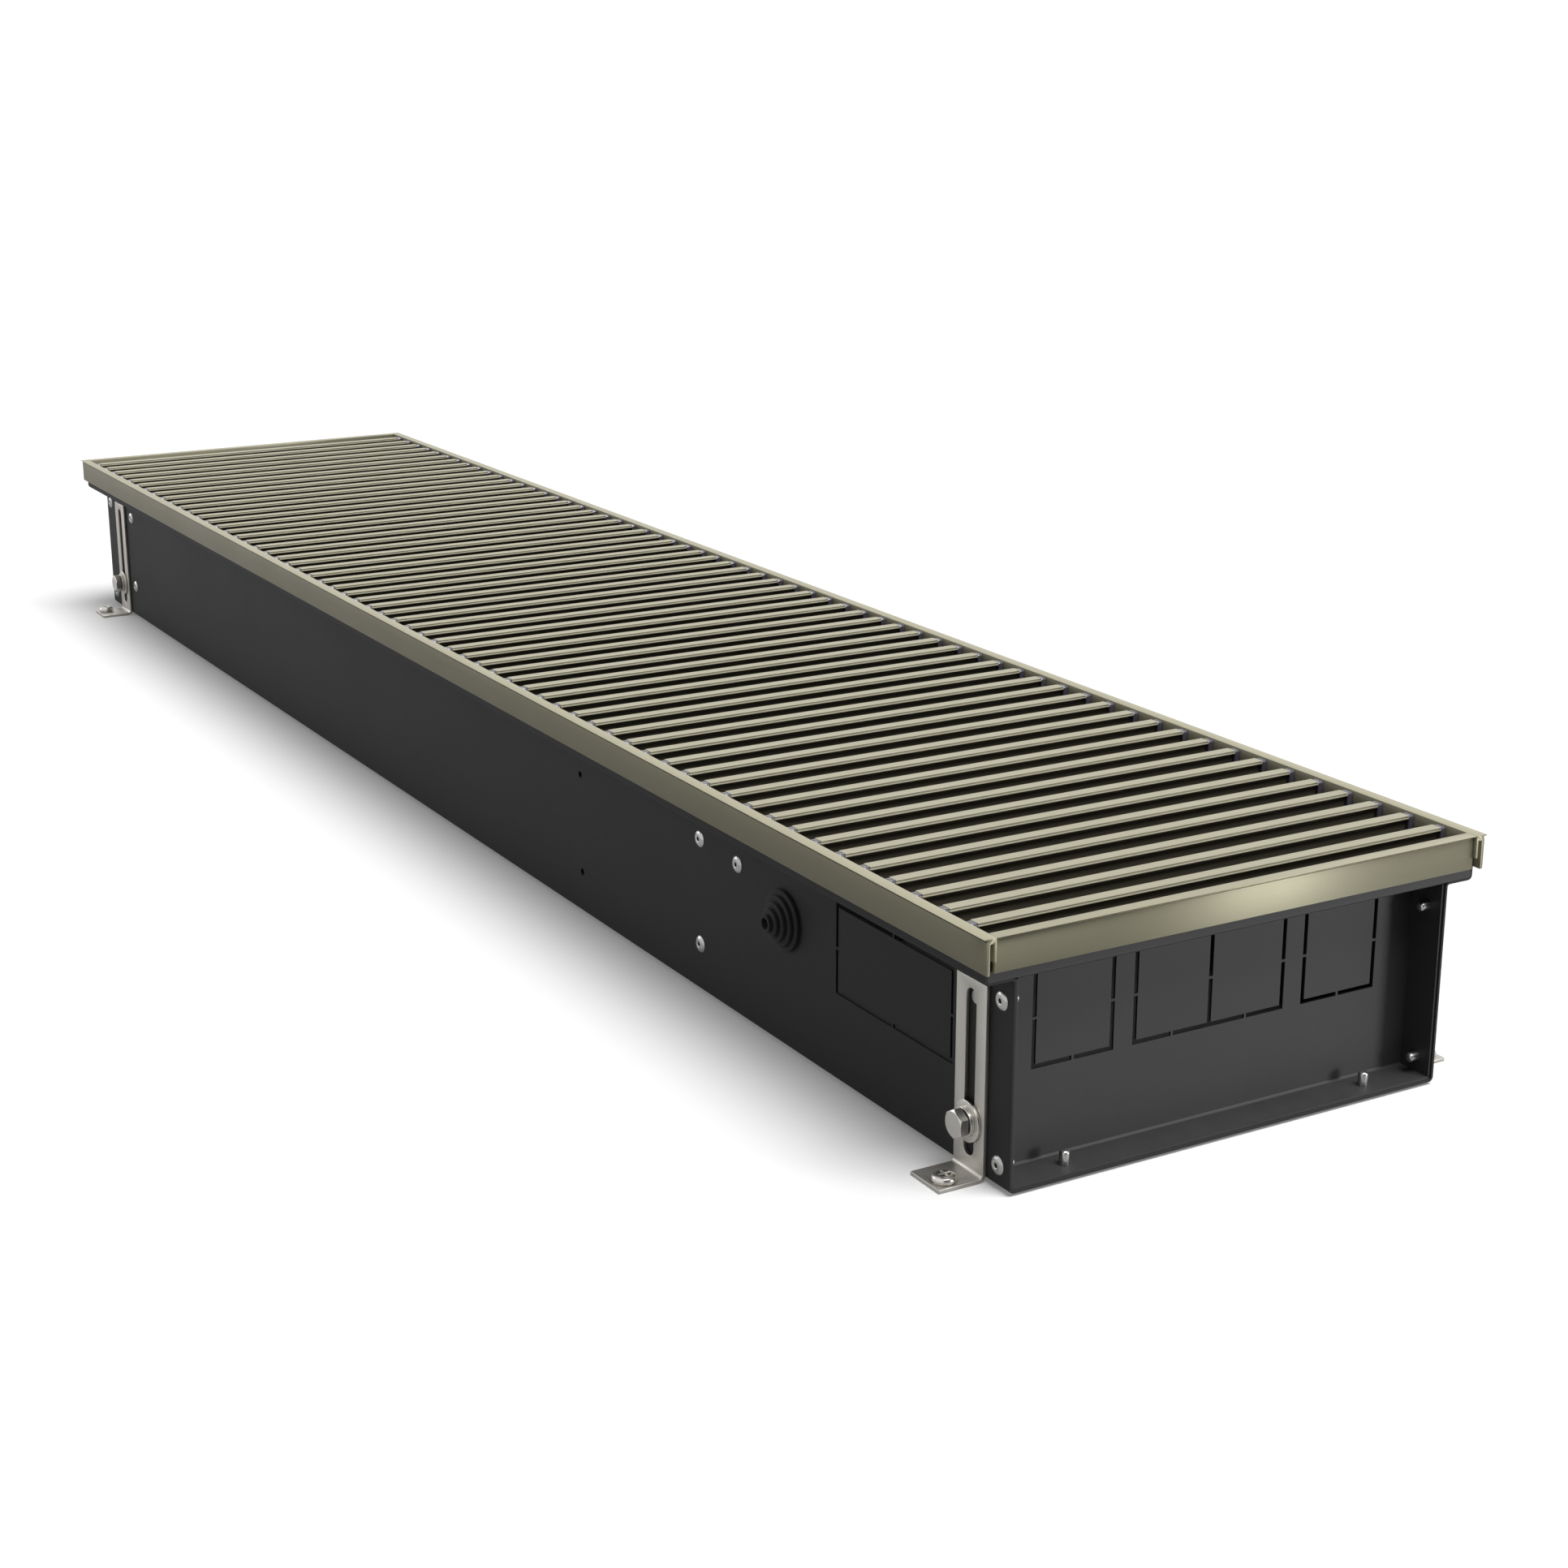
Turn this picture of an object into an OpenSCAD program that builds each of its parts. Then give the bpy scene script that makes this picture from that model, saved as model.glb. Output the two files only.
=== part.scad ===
// Trench convector heater: a floor-sunk sheet steel casing with a roll-up bar grille,
// a finned copper heat exchanger, a cross-flow fan and four levelling brackets.
// X runs along the casing with the connection end at +X, left is -Y, Z is up,
// and the origin lies on the floor under the middle of the casing.

/* [Casing] */
// Length of the casing
case_l = 1404; // [1380:1:2400]
// Outer width of the casing between its walls
case_w = 260; // [252:1:400]
// Height from the underside of the casing to the underside of its ledge
case_h = 105; // [102:1:160]
// Height of the casing's underside above the floor
case_lift = 1.5; // [1.4:0.1:6]
// Thickness of the casing sheet
sheet_t = 1.2; // [0.8:0.1:1.6]
// Inner radius of the casing's bends
bend_r = 1.2; // [0.6:0.1:2]
// Width of the ledge outside each wall
ledge_out = 16; // [14:0.5:24]
// Depth of the recess in front of each end panel
panel_inset = 21; // [20:0.5:30]
// Setback of the end panel's flanges from the casing's end
panel_lip = 1; // [0.5:0.1:3]

/* [Knock-outs] */
// Width of the knock-outs in the end panels
ko_w = 45; // [38:0.5:46]
// Height of the knock-outs in the end panels
ko_h = 48.5; // [38:0.5:50]
// Plain strip between an outer and an inner knock-out
ko_gap = 13.5; // [10:0.5:15]
// Distance of the end panels' knock-outs below the ledge
ko_under = 6.5; // [6:0.5:18]
// Width of a knock-out's slit
slit_w = 2.3; // [1:0.1:3]
// Width of the bridges that hold a knock-out
bridge_w = 1.3; // [1:0.1:5]
// Length of the knock-out in the left wall
side_ko_l = 103; // [60:1:104]
// Height of the knock-out in the left wall
side_ko_h = 46; // [30:1:50]
// Distance of the left wall's knock-out from the near end
side_ko_in = 49.5; // [49:0.5:60]
// Distance of the left wall's knock-out below the ledge
side_ko_under = 11; // [8:1:36]

/* [Rim] */
// Height of the rim's top above the underside of the ledge
rim_rise = 24; // [22:0.5:30]
// Thickness of the rim over the casing's flange
rim_face_t = 2.7; // [2.5:0.1:3.5]
// Distance by which the rim's edge stands out past its skirt
rim_tip_out = 1.6; // [0.8:0.1:3]
// Depth at which the sloping underside of the rim's edge meets the skirt
rim_slope_h = 2.5; // [1.5:0.1:2.5]
// Thickness of the rim's outer skirt
skirt_t = 1.7; // [1:0.1:2.5]
// Gap between the skirt and the casing's flange
skirt_gap = 0.7; // [0.3:0.1:1.5]
// Depth of the skirt below the rim's top
skirt_drop = 17.5; // [12:0.5:20]
// Thickness of the rim's inner leg
leg_t = 1.5; // [1:0.1:2]
// Depth of the inner leg below the rim's top
leg_drop = 11.5; // [8:0.5:13]

/* [Grille] */
// Spacing of the grille bars
bar_pitch = 22.74; // [18:0.01:30]
// Width of a grille bar
bar_w = 6.4; // [5:0.1:10]
// Height of a bar's upper and lower flange
bar_flange_t = 1.8; // [1.2:0.1:3]
// Thickness of a bar's web
bar_web_t = 2; // [1.2:0.1:3]
// Depth of the fine groove below a bar's top edge
bar_groove = 0.35; // [0.2:0.05:0.6]
// Drop of the bars below the rim's top
bar_drop = 0.5; // [0:0.1:2]
// Gap between a bar's end plug and the rim
bar_end_gap = 0.5; // [0.3:0.1:2]
// Thickness of a bar's end plug
plug_t = 1.2; // [0.8:0.1:3]
// Least gap between the last bar and the rim's end profile
grille_margin = 3; // [1:0.5:10]
// Distance of each tie wire from the bar ends
wire_in = 42; // [25:1:60]
// Diameter of a tie wire
wire_d = 3; // [2:0.1:4]
// Height of the tie wires above the bars' underside
wire_up = 6.5; // [6:0.1:9]
// Diameter of the spacer sleeves on the tie wires
sleeve_d = 7; // [6:0.1:8]
// Thickness of the damping strips below the bars
strip_t = 2; // [1:0.1:4]
// Width of a damping strip
strip_w = 10; // [6:0.5:11]

/* [Levelling brackets] */
// Width of a levelling bracket
bracket_w = 24.4; // [22:0.1:30]
// Thickness of a levelling bracket
bracket_t = 2; // [1.5:0.1:3]
// Distance of the levelling brackets' top below the ledge
bracket_under = 8.7; // [8.5:0.1:20]
// Reach of the bracket's foot from its upright's outer face
foot_out = 24; // [20:0.5:40]
// Inner radius of the bracket's bend
bracket_r = 2; // [1:0.1:3]
// Distance of the near brackets' middle from the near end
bracket_near_in = 31; // [30:0.5:34]
// Distance of the far brackets' middle from the far end
bracket_far_in = 42; // [40:0.5:80]
// Width of the bracket's slot
slot_w = 8.4; // [8.2:0.1:9]
// Distance from the floor to the lower end of the slot
slot_base = 9.5; // [8:0.1:14]
// Distance from the top of the slot to the top of the bracket
slot_top_in = 5; // [4:0.1:10]
// Height of the clamp bolts above the casing's underside
bolt_up = 25.5; // [22:0.5:40]
// Diameter of the clamp bolts
bolt_d = 8; // [6:0.1:8]
// Width across flats of the clamp bolts' heads
bolt_af = 13; // [11:0.5:14]
// Height of the clamp bolts' heads
bolt_head_h = 5.3; // [4:0.1:7]
// Reach of the clamp bolts past the inside of the wall
bolt_reach = 11; // [8:0.5:16]
// Diameter of the flat washers
washer_d = 20.5; // [18:0.5:24]
// Thickness of the flat washers
washer_t = 1.6; // [1:0.1:2.5]
// Diameter of the split spring washers
spring_d = 14.8; // [13:0.1:16]
// Thickness of the split spring washers
spring_t = 2; // [1.5:0.1:3]
// Diameter of the clamp nuts pressed into the wall
nut_d = 13; // [12:0.5:14]
// Height of the clamp nuts
nut_h = 6.5; // [5:0.5:8]
// Diameter of the foot screws' heads
foot_head_d = 12; // [9:0.5:14]
// Height of the foot screws' heads
foot_head_h = 3; // [2:0.1:4]
// Diameter of the foot screws' shanks
foot_shank_d = 6; // [5:0.1:7]
// Thickness of the ring under each foot screw's head
foot_ring_t = 1; // [0.5:0.1:2]
// Distance of the foot screws from the foot's free edge
foot_screw_in = 7.5; // [7.2:0.1:9]
// Distance of the foot screws from the bracket's middle, towards the casing's end
foot_screw_off = 5; // [0:0.5:5]

/* [Rivets and grommet] */
// Diameter of the blind rivets
rivet_d = 4.8; // [4:0.1:5]
// Diameter of the blind rivets' heads
rivet_head_d = 9.5; // [8:0.1:11]
// Height of the blind rivets' heads
rivet_head_h = 1.3; // [1:0.1:1.3]
// Length of a blind rivet's tail behind the sheets
rivet_tail = 7.3; // [6:0.1:11]
// Diameter of the small rivets by the brackets
slot_rivet_d = 3.2; // [2.8:0.1:4]
// Diameter of the small rivets' heads
slot_rivet_head_d = 6.4; // [5:0.1:7]
// Distance of the end panels' rivets from the casing's end
end_rivet_in = 10; // [8:0.5:11]
// Height of the end panels' lower rivets above the casing's underside
end_rivet_low = 10.8; // [9:0.1:20]
// Distance of the end panels' upper rivets below the ledge
end_rivet_under = 13.1; // [11:0.1:25]
// Height of the plates' lower rivets above the casing's underside
plate_rivet_low = 27.1; // [15:0.1:35]
// Distance of the plates' upper rivets below the ledge
plate_rivet_under = 17.2; // [13:0.1:30]
// Distance of the plates' rivets from the middle of their flanges, toward the far end
plate_rivet_shift = 3; // [0:0.5:4]
// Distance of the terminal box's rivet from the near end
box_rivet_in = 254.7; // [240:0.1:262]
// Distance of the terminal box's rivet below the ledge
box_rivet_under = 19.7; // [17:0.1:25]
// Distance of the small rivets from the casing's end
slot_rivet_in = 30.5; // [29:0.5:32]
// Distance of the small rivets below the ledge
slot_rivet_under = 18.3; // [15:0.1:25]
// Diameter of the small spare holes in the walls
spare_hole_d = 4; // [2:0.1:6]
// Distance of the spare holes from the near end
spare_hole_in = 444; // [430:1:460]
// Height of the lower spare holes above the casing's underside
spare_hole_low = 25.4; // [10:0.1:35]
// Distance of the upper spare holes below the ledge
spare_hole_under = 19.2; // [10:0.1:35]
// Distance of the end panels' bottom rivets from the middle
base_rivet_y = 92; // [60:1:105]
// Diameter of the cable grommet's base
grommet_d = 33; // [28:0.5:34]
// Reach of the cable grommet outside the wall
grommet_out = 11.8; // [10:0.1:18]
// Distance of the cable grommet from the near end
grommet_in = 205; // [204:0.5:215]
// Distance of the cable grommet below the ledge
grommet_under = 35.3; // [25:0.1:45]
// Number of steps on the cable grommet
grommet_steps = 5; // [3:1:7]

/* [Heat exchanger] */
// Distance of the partition from the near end
partition_in = 305; // [300:0.5:315]
// Distance of the exchanger's support from the far end
support_in = 83; // [80:0.5:100]
// Width of the flanges on the partition and the support
plate_lip = 23; // [20:0.5:24]
// Gap between the heat exchanger's fins and the plates that carry it
fin_gap = 12; // [8:0.5:20]
// Gap between the fan housings and the fins
fin_duct_gap = 5.25; // [4:0.05:8]
// Gap between the fins and the right wall
fin_wall_gap = 18.55; // [15:0.05:30]
// Distance of the fins' top below the ledge
fin_under = 14.5; // [13:0.5:22]
// Height of the fins above the casing's underside
fin_up = 20.5; // [15:0.5:22]
// Depth of the upper tubes' axis below the ledge
tube_under = 32.5; // [30:0.5:36]
// Spacing of the fins
fin_pitch = 10; // [6:0.5:20]
// Thickness of a fin
fin_t = 0.5; // [0.3:0.1:1]
// Outer diameter of the tubes
tube_d = 15; // [12:0.5:16]
// Wall of the tubes
tube_wall = 1; // [0.6:0.1:1.5]
// Distance of the lower tubes from the fins' lower edge
tube_edge = 18; // [12:0.5:20]
// Length of the water sockets
socket_l = 30; // [26:0.5:40]
// Outer diameter of the water sockets
socket_d = 27; // [25:0.5:30]
// Diameter of the sockets' thread, measured at its crests
thread_d = 18.6; // [17:0.1:20]
// Length of the sockets' thread
thread_l = 15; // [12:0.5:18]
// Distance of the sockets' mouths from the near end
socket_in = 182; // [175:0.5:190]
// Width across flats of the air vent
vent_af = 10; // [9:0.5:12]
// Height of the air vent
vent_h = 12; // [10:0.5:13]

/* [Fan] */
// Diameter of the fan wheels
wheel_d = 56; // [50:0.5:58]
// Number of blades on a fan wheel
blade_count = 24; // [12:1:30]
// Thickness of a blade
blade_t = 0.8; // [0.6:0.1:1.2]
// Length of a blade across its chord
blade_chord = 8; // [6:0.5:9]
// Thickness of the fan wheels' discs
disc_t = 1.5; // [1:0.1:3]
// Diameter of the shafts
shaft_d = 6; // [5:0.1:7]
// Distance of the fan's axis from the inside of the left wall
fan_in = 60.8; // [60:0.1:62]
// Height of the fan's axis above the casing's underside
fan_up = 48.5; // [46:0.1:50]
// Gap between a fan wheel and its housing
wheel_gap = 3; // [2:0.1:4]
// Thickness of the fan housings' sheet
duct_t = 1; // [0.8:0.1:1.2]
// Width of a fan housing on the far side of its axis
duct_out = 56; // [50:0.5:58]
// Width of a fan housing on the wall's side of its axis
duct_back = 40; // [38:0.5:42]
// Distance of the fan housings' top below the ledge
duct_under = 11; // [9:0.5:17]
// Middle of the motor, measured from the near end
motor_in = 812; // [780:1:840]
// Diameter of the motor
motor_d = 62; // [56:0.5:64]
// Length of the motor
motor_l = 68; // [60:0.5:76]
// Gap between a fan housing and the motor's bracket
motor_gap = 10; // [8:0.5:20]
// Diameter of the motor's noses
nose_d = 24; // [20:0.5:26]
// Length of the motor's noses
nose_l = 9; // [8.5:0.5:9.5]

/* [Electrical] */
// Distance of the terminal box's near side from the near end
box_in = 224; // [223:0.5:228]
// Length of the terminal box
box_l = 54; // [50:0.5:55]
// Width of the terminal box
box_w = 42; // [38:0.5:46]
// Distance of the terminal box's lid below the ledge
box_under = 8; // [7:0.5:11]
// Height of the terminal box above the casing's underside
box_up = 33; // [31:0.5:34]
// Wall of the terminal box
box_t = 2; // [1.5:0.1:3]
// Thickness of the terminal box's lid
lid_t = 3; // [2:0.1:4]
// Distance of the cable's axis from the inside of the left wall
cable_in = 14.8; // [14:0.1:15]
// Diameter of the motor cable
cable_d = 6; // [5:0.1:7]
// Radius of the motor cable's bend
cable_bend = 12; // [10:0.5:12.5]
// Diameter of the cable glands' thread
gland_d = 16; // [14:0.5:17]

/* [Fits] */
// Gap between fixed pieces that lie against each other
lap_gap = 0.1; // [0.02:0.01:0.15]
// Gap between pieces that slide or rest on each other
slide_gap = 0.3; // [0.1:0.05:0.4]
// Radial clearance of the shafts in their bearings
run_gap = 0.04; // [0.02:0.01:0.08]
// Radial clearance of fasteners in their holes
hole_gap = 0.1; // [0.05:0.01:0.3]

/* [Hidden] */
$fn = 48;

// Counts of steps along curves, of wheel bays and of terminals
duct_steps = 10;
blade_steps = 5;
wheel_bays = 4;
pole_count = 5;
tongue_angle = 40;

// Shares of a size at which a form changes
groove_shares = [0.3, 0.55];
dome_shares = [0.35, 0.9, 0.75, 0.6];
cross_shares = [0.55, 0.1];
recess_share = 0.5;
rivet_shares = [0.3, 0.62, 0.9, 0.6];
rivet_hole_share = 0.3;
rivet_tail_share = 0.54;
neck_share = 0.41;
tip_shares = [0.142, 0.1];
bleed_head_share = 0.38;
stator_share = 0.55;
stator_l_share = 0.56;
winding_share = 0.12;
winding_r_share = 0.86;
clip_shares = [0.2, 0.8];
tube_shares = [0.25, 0.75];

// Overrun of a cut past the sheet that it opens
cut = 1;

// Places of the casing's sheet: outer and inner faces of its walls, floor, ledge and flange
end_x = case_l / 2;
wall_y = case_w / 2;
wall_in_y = wall_y - sheet_t;
floor_z = case_lift + sheet_t;
ledge_z = case_lift + case_h;
ledge_top = ledge_z + sheet_t;
flange_y = wall_y + ledge_out;

// Places of the rim
rim_over = skirt_gap + skirt_t + rim_tip_out;
rim_y = flange_y + rim_over;
rim_x = end_x + rim_over;
rim_top = ledge_z + rim_rise;
flange_top = rim_top - rim_face_t;
leg_in = sheet_t + lap_gap + leg_t;
rim_face_w = rim_over + leg_in;

// Places of the end panels
panel_x = end_x - panel_inset;
panel_lip_x = end_x - panel_lip;
ko_mid_z = ledge_z - ko_under - ko_h / 2;
ko_inner_y = ko_w / 2;
ko_outer_y = ko_w * 3 / 2 + ko_gap;

// Places of the grille
bar_top = rim_top - bar_drop;
bar_z = ledge_top + strip_t + slide_gap;
plug_y = rim_y - rim_face_w - bar_end_gap;
bar_y = plug_y - plug_t;
wire_y = bar_y - wire_in;
wire_z = bar_z + wire_up;
bar_half_count = floor((rim_x - rim_face_w - grille_margin - bar_w / 2) / bar_pitch);
bar_x = bar_half_count * bar_pitch;

// Places of the levelling brackets: top, outside of the wall, the uprights and the washers
bracket_h = ledge_z - bracket_under;
bracket_y = wall_y + lap_gap;
bracket_out_y = bracket_y + bracket_t;
washer_y = bracket_out_y + lap_gap;
spring_y = washer_y + washer_t;
head_y = spring_y + spring_t;
foot_y = bracket_out_y + foot_out;
bolt_z = case_lift + bolt_up;
bracket_near_x = end_x - bracket_near_in;
bracket_far_x = bracket_far_in - end_x;
corner_share = 2 / sqrt(3);

// Places of the plates that carry the heat exchanger
partition_x = end_x - partition_in;
support_x = support_in - end_x;
plate_z = floor_z + lap_gap;
plate_top = ledge_z - lap_gap;
plate_y = wall_in_y - lap_gap;
corner_gap = bend_r * 2 / 3;

// Places of the fan
fan_y = fan_in - wall_in_y;
fan_z = case_lift + fan_up;
wheel_r = wheel_d / 2;
duct_r = wheel_r + wheel_gap;
duct_top = ledge_z - duct_under;
duct_in_y = fan_y + duct_out;
duct_wall_y = fan_y - duct_back;
duct_end_gap = 10;
wheel_end_gap = 5;
motor_x = end_x - motor_in;
motor_face = motor_l / 2;
motor_near_x = motor_x + motor_face;
motor_far_x = motor_x - motor_face;
motor_arm_gap = 2;
motor_arm = motor_face + motor_arm_gap;
duct_motor = motor_arm + sheet_t + motor_gap;
duct_near = [motor_x + duct_motor, partition_x - duct_end_gap];
duct_far = [support_x + sheet_t + duct_end_gap, motor_x - duct_motor];
nose_r = nose_d / 2;
bearing_l = 9;
bearing_d = 12;
rubber_d = 22;
rubber_lip = 1.5;

// Places of the heat exchanger, whose upper tubes face the right-hand knock-outs
fin_y = duct_in_y + fin_duct_gap;
fin_w = wall_in_y - fin_wall_gap - fin_y;
fin_z = case_lift + fin_up;
fin_h = ledge_z - fin_under - fin_z;
tube_y = [for (share = tube_shares) fin_y + fin_w * share];
tube_z = [fin_z + tube_edge, ledge_z - tube_under];
fin_near_x = partition_x - fin_gap;
fin_far_x = support_x + sheet_t + fin_gap;
fin_count = floor((fin_near_x - fin_far_x) / fin_pitch) + 1;
tube_r = tube_d / 2;
tube_far_x = support_x - tube_r;
tube_turn_x = partition_x + tube_r;
socket_x = end_x - socket_in;
vent_x = socket_x - socket_l - vent_af;

// Places of the electrical pieces
box_x = end_x - box_in - box_l;
box_y = -wall_in_y + lap_gap;
box_z = case_lift + box_up;
box_top = ledge_z - box_under - lid_t;
cable_y = cable_in - wall_in_y;
cable_r = cable_d / 2;
gland_nut_l = 14;
gland_flange_l = 5;
gland_af = 20;
gland_nut_af = 19;

// Rivets, bolts and small holes: place along the casing, then height or distance from the middle
end_rivets = [for (end = [-1, 1], z = [case_lift + end_rivet_low, ledge_z - end_rivet_under])
    [end * (end_x - end_rivet_in), z]];
base_rivets = [for (end = [-1, 1], side = [-1, 1]) [end * (end_x - end_rivet_in), side * base_rivet_y]];
plate_rivets = [for (x = [partition_x + plate_lip / 2, support_x + sheet_t - plate_lip / 2],
    z = [case_lift + plate_rivet_low, ledge_z - plate_rivet_under]) [x - plate_rivet_shift, z]];
box_rivets = [[end_x - box_rivet_in, ledge_z - box_rivet_under]];
bolt_places = [for (x = [bracket_near_x, bracket_far_x]) [x, bolt_z]];
slot_rivet_places = [for (end = [-1, 1]) [end * (end_x - slot_rivet_in), ledge_z - slot_rivet_under]];
spare_holes = [for (z = [case_lift + spare_hole_low, ledge_z - spare_hole_under])
    [end_x - spare_hole_in, z]];
nut_collar_r = (nut_d + bolt_d) / 4;
grommet_x = end_x - grommet_in;
grommet_z = ledge_z - grommet_under;
grommet_neck_r = grommet_d * neck_share;
grommet_tip_r = grommet_d * tip_shares[0];
grommet_bore_r = grommet_d * tip_shares[1];

// Places that follow from the others
rim_end_y = flange_y - leg_in - lap_gap;
strip_y = wall_y + sheet_t;
socket_seat = socket_l - thread_l - tube_wall * 2;
vent_top = tube_z[1] + tube_r + vent_h;
bleed_r = vent_af / 4;
bush_r = cable_r + rubber_lip * 2;
wheel_near = [duct_near[0] + duct_t + wheel_end_gap, duct_near[1] - duct_t - wheel_end_gap];
wheel_far = [duct_far[0] + duct_t + wheel_end_gap, duct_far[1] - duct_t - wheel_end_gap];
bearing_near_x = duct_near[1] - duct_t / 2;
bearing_far_x = duct_far[0] + duct_t / 2;
motor_r = motor_d / 2;
motor_wall = sheet_t * 5 / 3;
ring_r = nose_r + rubber_lip * 2;
stator_r = motor_r * stator_share;
hub_l = shaft_d * 2;
post_r = box_t * 2;
screw_r = box_t * 3 / 4;
screw_l = screw_r * 8;
pole_pitch = box_l / 8;

// Colours of the materials
charcoal = "#333436";
champagne = "#b3b19b";
steel = "#c9c9c6";
black = "#1c1c1c";

// A box between two corners
module block(low, high) {
    translate(low) cube(high - low);
}

// A rod along X, Y or Z between two places
module rod_x(from, to, r, y, z) {
    translate([from, y, z]) rotate([0, 90, 0]) cylinder(h = to - from, r = r);
}

module rod_y(from, to, r, x, z) {
    translate([x, from, z]) rotate([-90, 0, 0]) cylinder(h = to - from, r = r);
}

module rod_z(from, to, r, x, y) {
    translate([x, y, from]) cylinder(h = to - from, r = r);
}

// A section drawn in Y and Z, drawn out along X
module along_x(from, to) {
    translate([from, 0, 0]) rotate([90, 0, 90]) linear_extrude(to - from) children();
}

// A section drawn in X and Z, drawn out along Y
module along_y(from, to) {
    translate([0, to, 0]) rotate([90, 0, 0]) linear_extrude(to - from) children();
}

// A flat ring on the floor of its own frame
module ring(r_out, r_in, h) {
    difference() {
        cylinder(h = h, r = r_out);
        translate([0, 0, -cut]) cylinder(h = h + 2 * cut, r = r_in);
    }
}

// A tube along X
module tube_x(from, to, r_out, r_in, y, z) {
    translate([from, y, z]) rotate([0, 90, 0]) ring(r_out, r_in, to - from);
}

// A mirror image beside the piece itself
module both_sides() {
    children();
    mirror([0, 1, 0]) children();
}

// Folded sheet: a path along one face, the sheet on its left, with rounded bends
function unit(v) = v / norm(v);
function left_of(d) = [-d[1], d[0]];
function reversed(v) = [for (i = [len(v) - 1 : -1 : 0]) v[i]];
function heading(p, i) = unit(p[min(i + 1, len(p) - 1)] - p[min(i, len(p) - 2)]);
function offset_point(p, i, t) =
    let (n1 = left_of(heading(p, max(i - 1, 0))), n2 = left_of(heading(p, i)))
    p[i] + (n1 + n2) * t / (1 + n1 * n2);
function bend_steps() = 4;
function bend(a, b, c, r) =
    let (u = unit(a - b), v = unit(c - b), half = acos(u * v) / 2,
        d = r / tan(half), middle = b + unit(u + v) * r / sin(half))
    [for (i = [0 : bend_steps()])
        let (w = i / bend_steps())
        middle + r * unit((b + u * d - middle) * (1 - w) + (b + v * d - middle) * w)];
function face(p, t, r, on_left) =
    let (q = [for (i = [0 : len(p) - 1]) on_left ? offset_point(p, i, t) : p[i]], last = len(q) - 1)
    [q[0],
        for (i = [1 : last - 1])
            let (turns_left = cross(q[i] - q[i - 1], q[i + 1] - q[i]) > 0)
            each bend(q[i - 1], q[i], q[i + 1], turns_left == on_left ? r : r + t),
        q[last]];

module folded(path, t, r) {
    polygon(concat(face(path, t, r, false), reversed(face(path, t, r, true))));
}

// Sheet along a path of short steps, without bends of its own
module strip(path, t) {
    polygon(concat(path, reversed([for (i = [0 : len(path) - 1]) offset_point(path, i, t)])));
}

// Places on the walls and on the casing's underside, where a child's +Z points out of the casing
module on_wall(side, places) {
    for (p = places) translate([p[0], side * wall_y, p[1]]) rotate([-side * 90, 0, 0]) children();
}

module on_base(places) {
    for (p = places) translate([p[0], p[1], case_lift]) rotate([180, 0, 0]) children();
}

// Hole for a fastener of a given diameter, drilled through whatever lies behind the wall's face
module fastener_hole(d, depth) {
    translate([0, 0, -depth]) cylinder(h = depth + cut, r = d / 2 + hole_gap);
}

module rivet_holes() {
    for (side = [-1, 1]) on_wall(side, end_rivets) fastener_hole(rivet_d, rivet_tail);
    on_base(base_rivets) fastener_hole(rivet_d, rivet_tail);
}

module plate_rivet_holes() {
    for (side = [-1, 1]) on_wall(side, plate_rivets) fastener_hole(rivet_d, rivet_tail);
    on_wall(-1, box_rivets) fastener_hole(rivet_d, rivet_tail);
}

// Countersunk shape of a small rivet's head, with a gap around it
module slot_rivet_head(gap) {
    translate([0, 0, -sheet_t]) cylinder(h = sheet_t, r1 = slot_rivet_d / 2 + gap,
        r2 = slot_rivet_head_d / 2 + gap);
}

// Slit around a rectangular knock-out, with a bridge at the middle of each side
module knock_out(w, h) {
    difference() {
        square([w + slit_w, h + slit_w], center = true);
        square([w - slit_w, h - slit_w], center = true);
        square([w * 2, bridge_w], center = true);
        square([bridge_w, h * 2], center = true);
    }
}

module casing_trough() {
    section = [
        [-flange_y, flange_top], [-flange_y, ledge_z], [-wall_y, ledge_z], [-wall_y, case_lift],
        [wall_y, case_lift], [wall_y, ledge_z], [flange_y, ledge_z], [flange_y, flange_top]
    ];
    color(charcoal) difference() {
        along_x(-end_x, end_x) folded(section, sheet_t, bend_r);
        translate([end_x - side_ko_in - side_ko_l / 2, 0, ledge_z - side_ko_under - side_ko_h / 2])
            along_y(-wall_y - cut, cut - wall_in_y) knock_out(side_ko_l, side_ko_h);
        rod_y(-wall_y - cut, cut - wall_in_y, grommet_neck_r + hole_gap, grommet_x, grommet_z);
        rivet_holes();
        plate_rivet_holes();
        for (side = [-1, 1]) {
            on_wall(side, bolt_places) translate([0, 0, -sheet_t - cut])
                cylinder(h = sheet_t + 2 * cut, r = nut_collar_r + hole_gap);
            on_wall(side, slot_rivet_places) {
                slot_rivet_head(hole_gap);
                fastener_hole(slot_rivet_d, sheet_t + cut);
            }
            on_wall(side, spare_holes) fastener_hole(spare_hole_d, sheet_t + cut);
        }
    }
}

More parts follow.
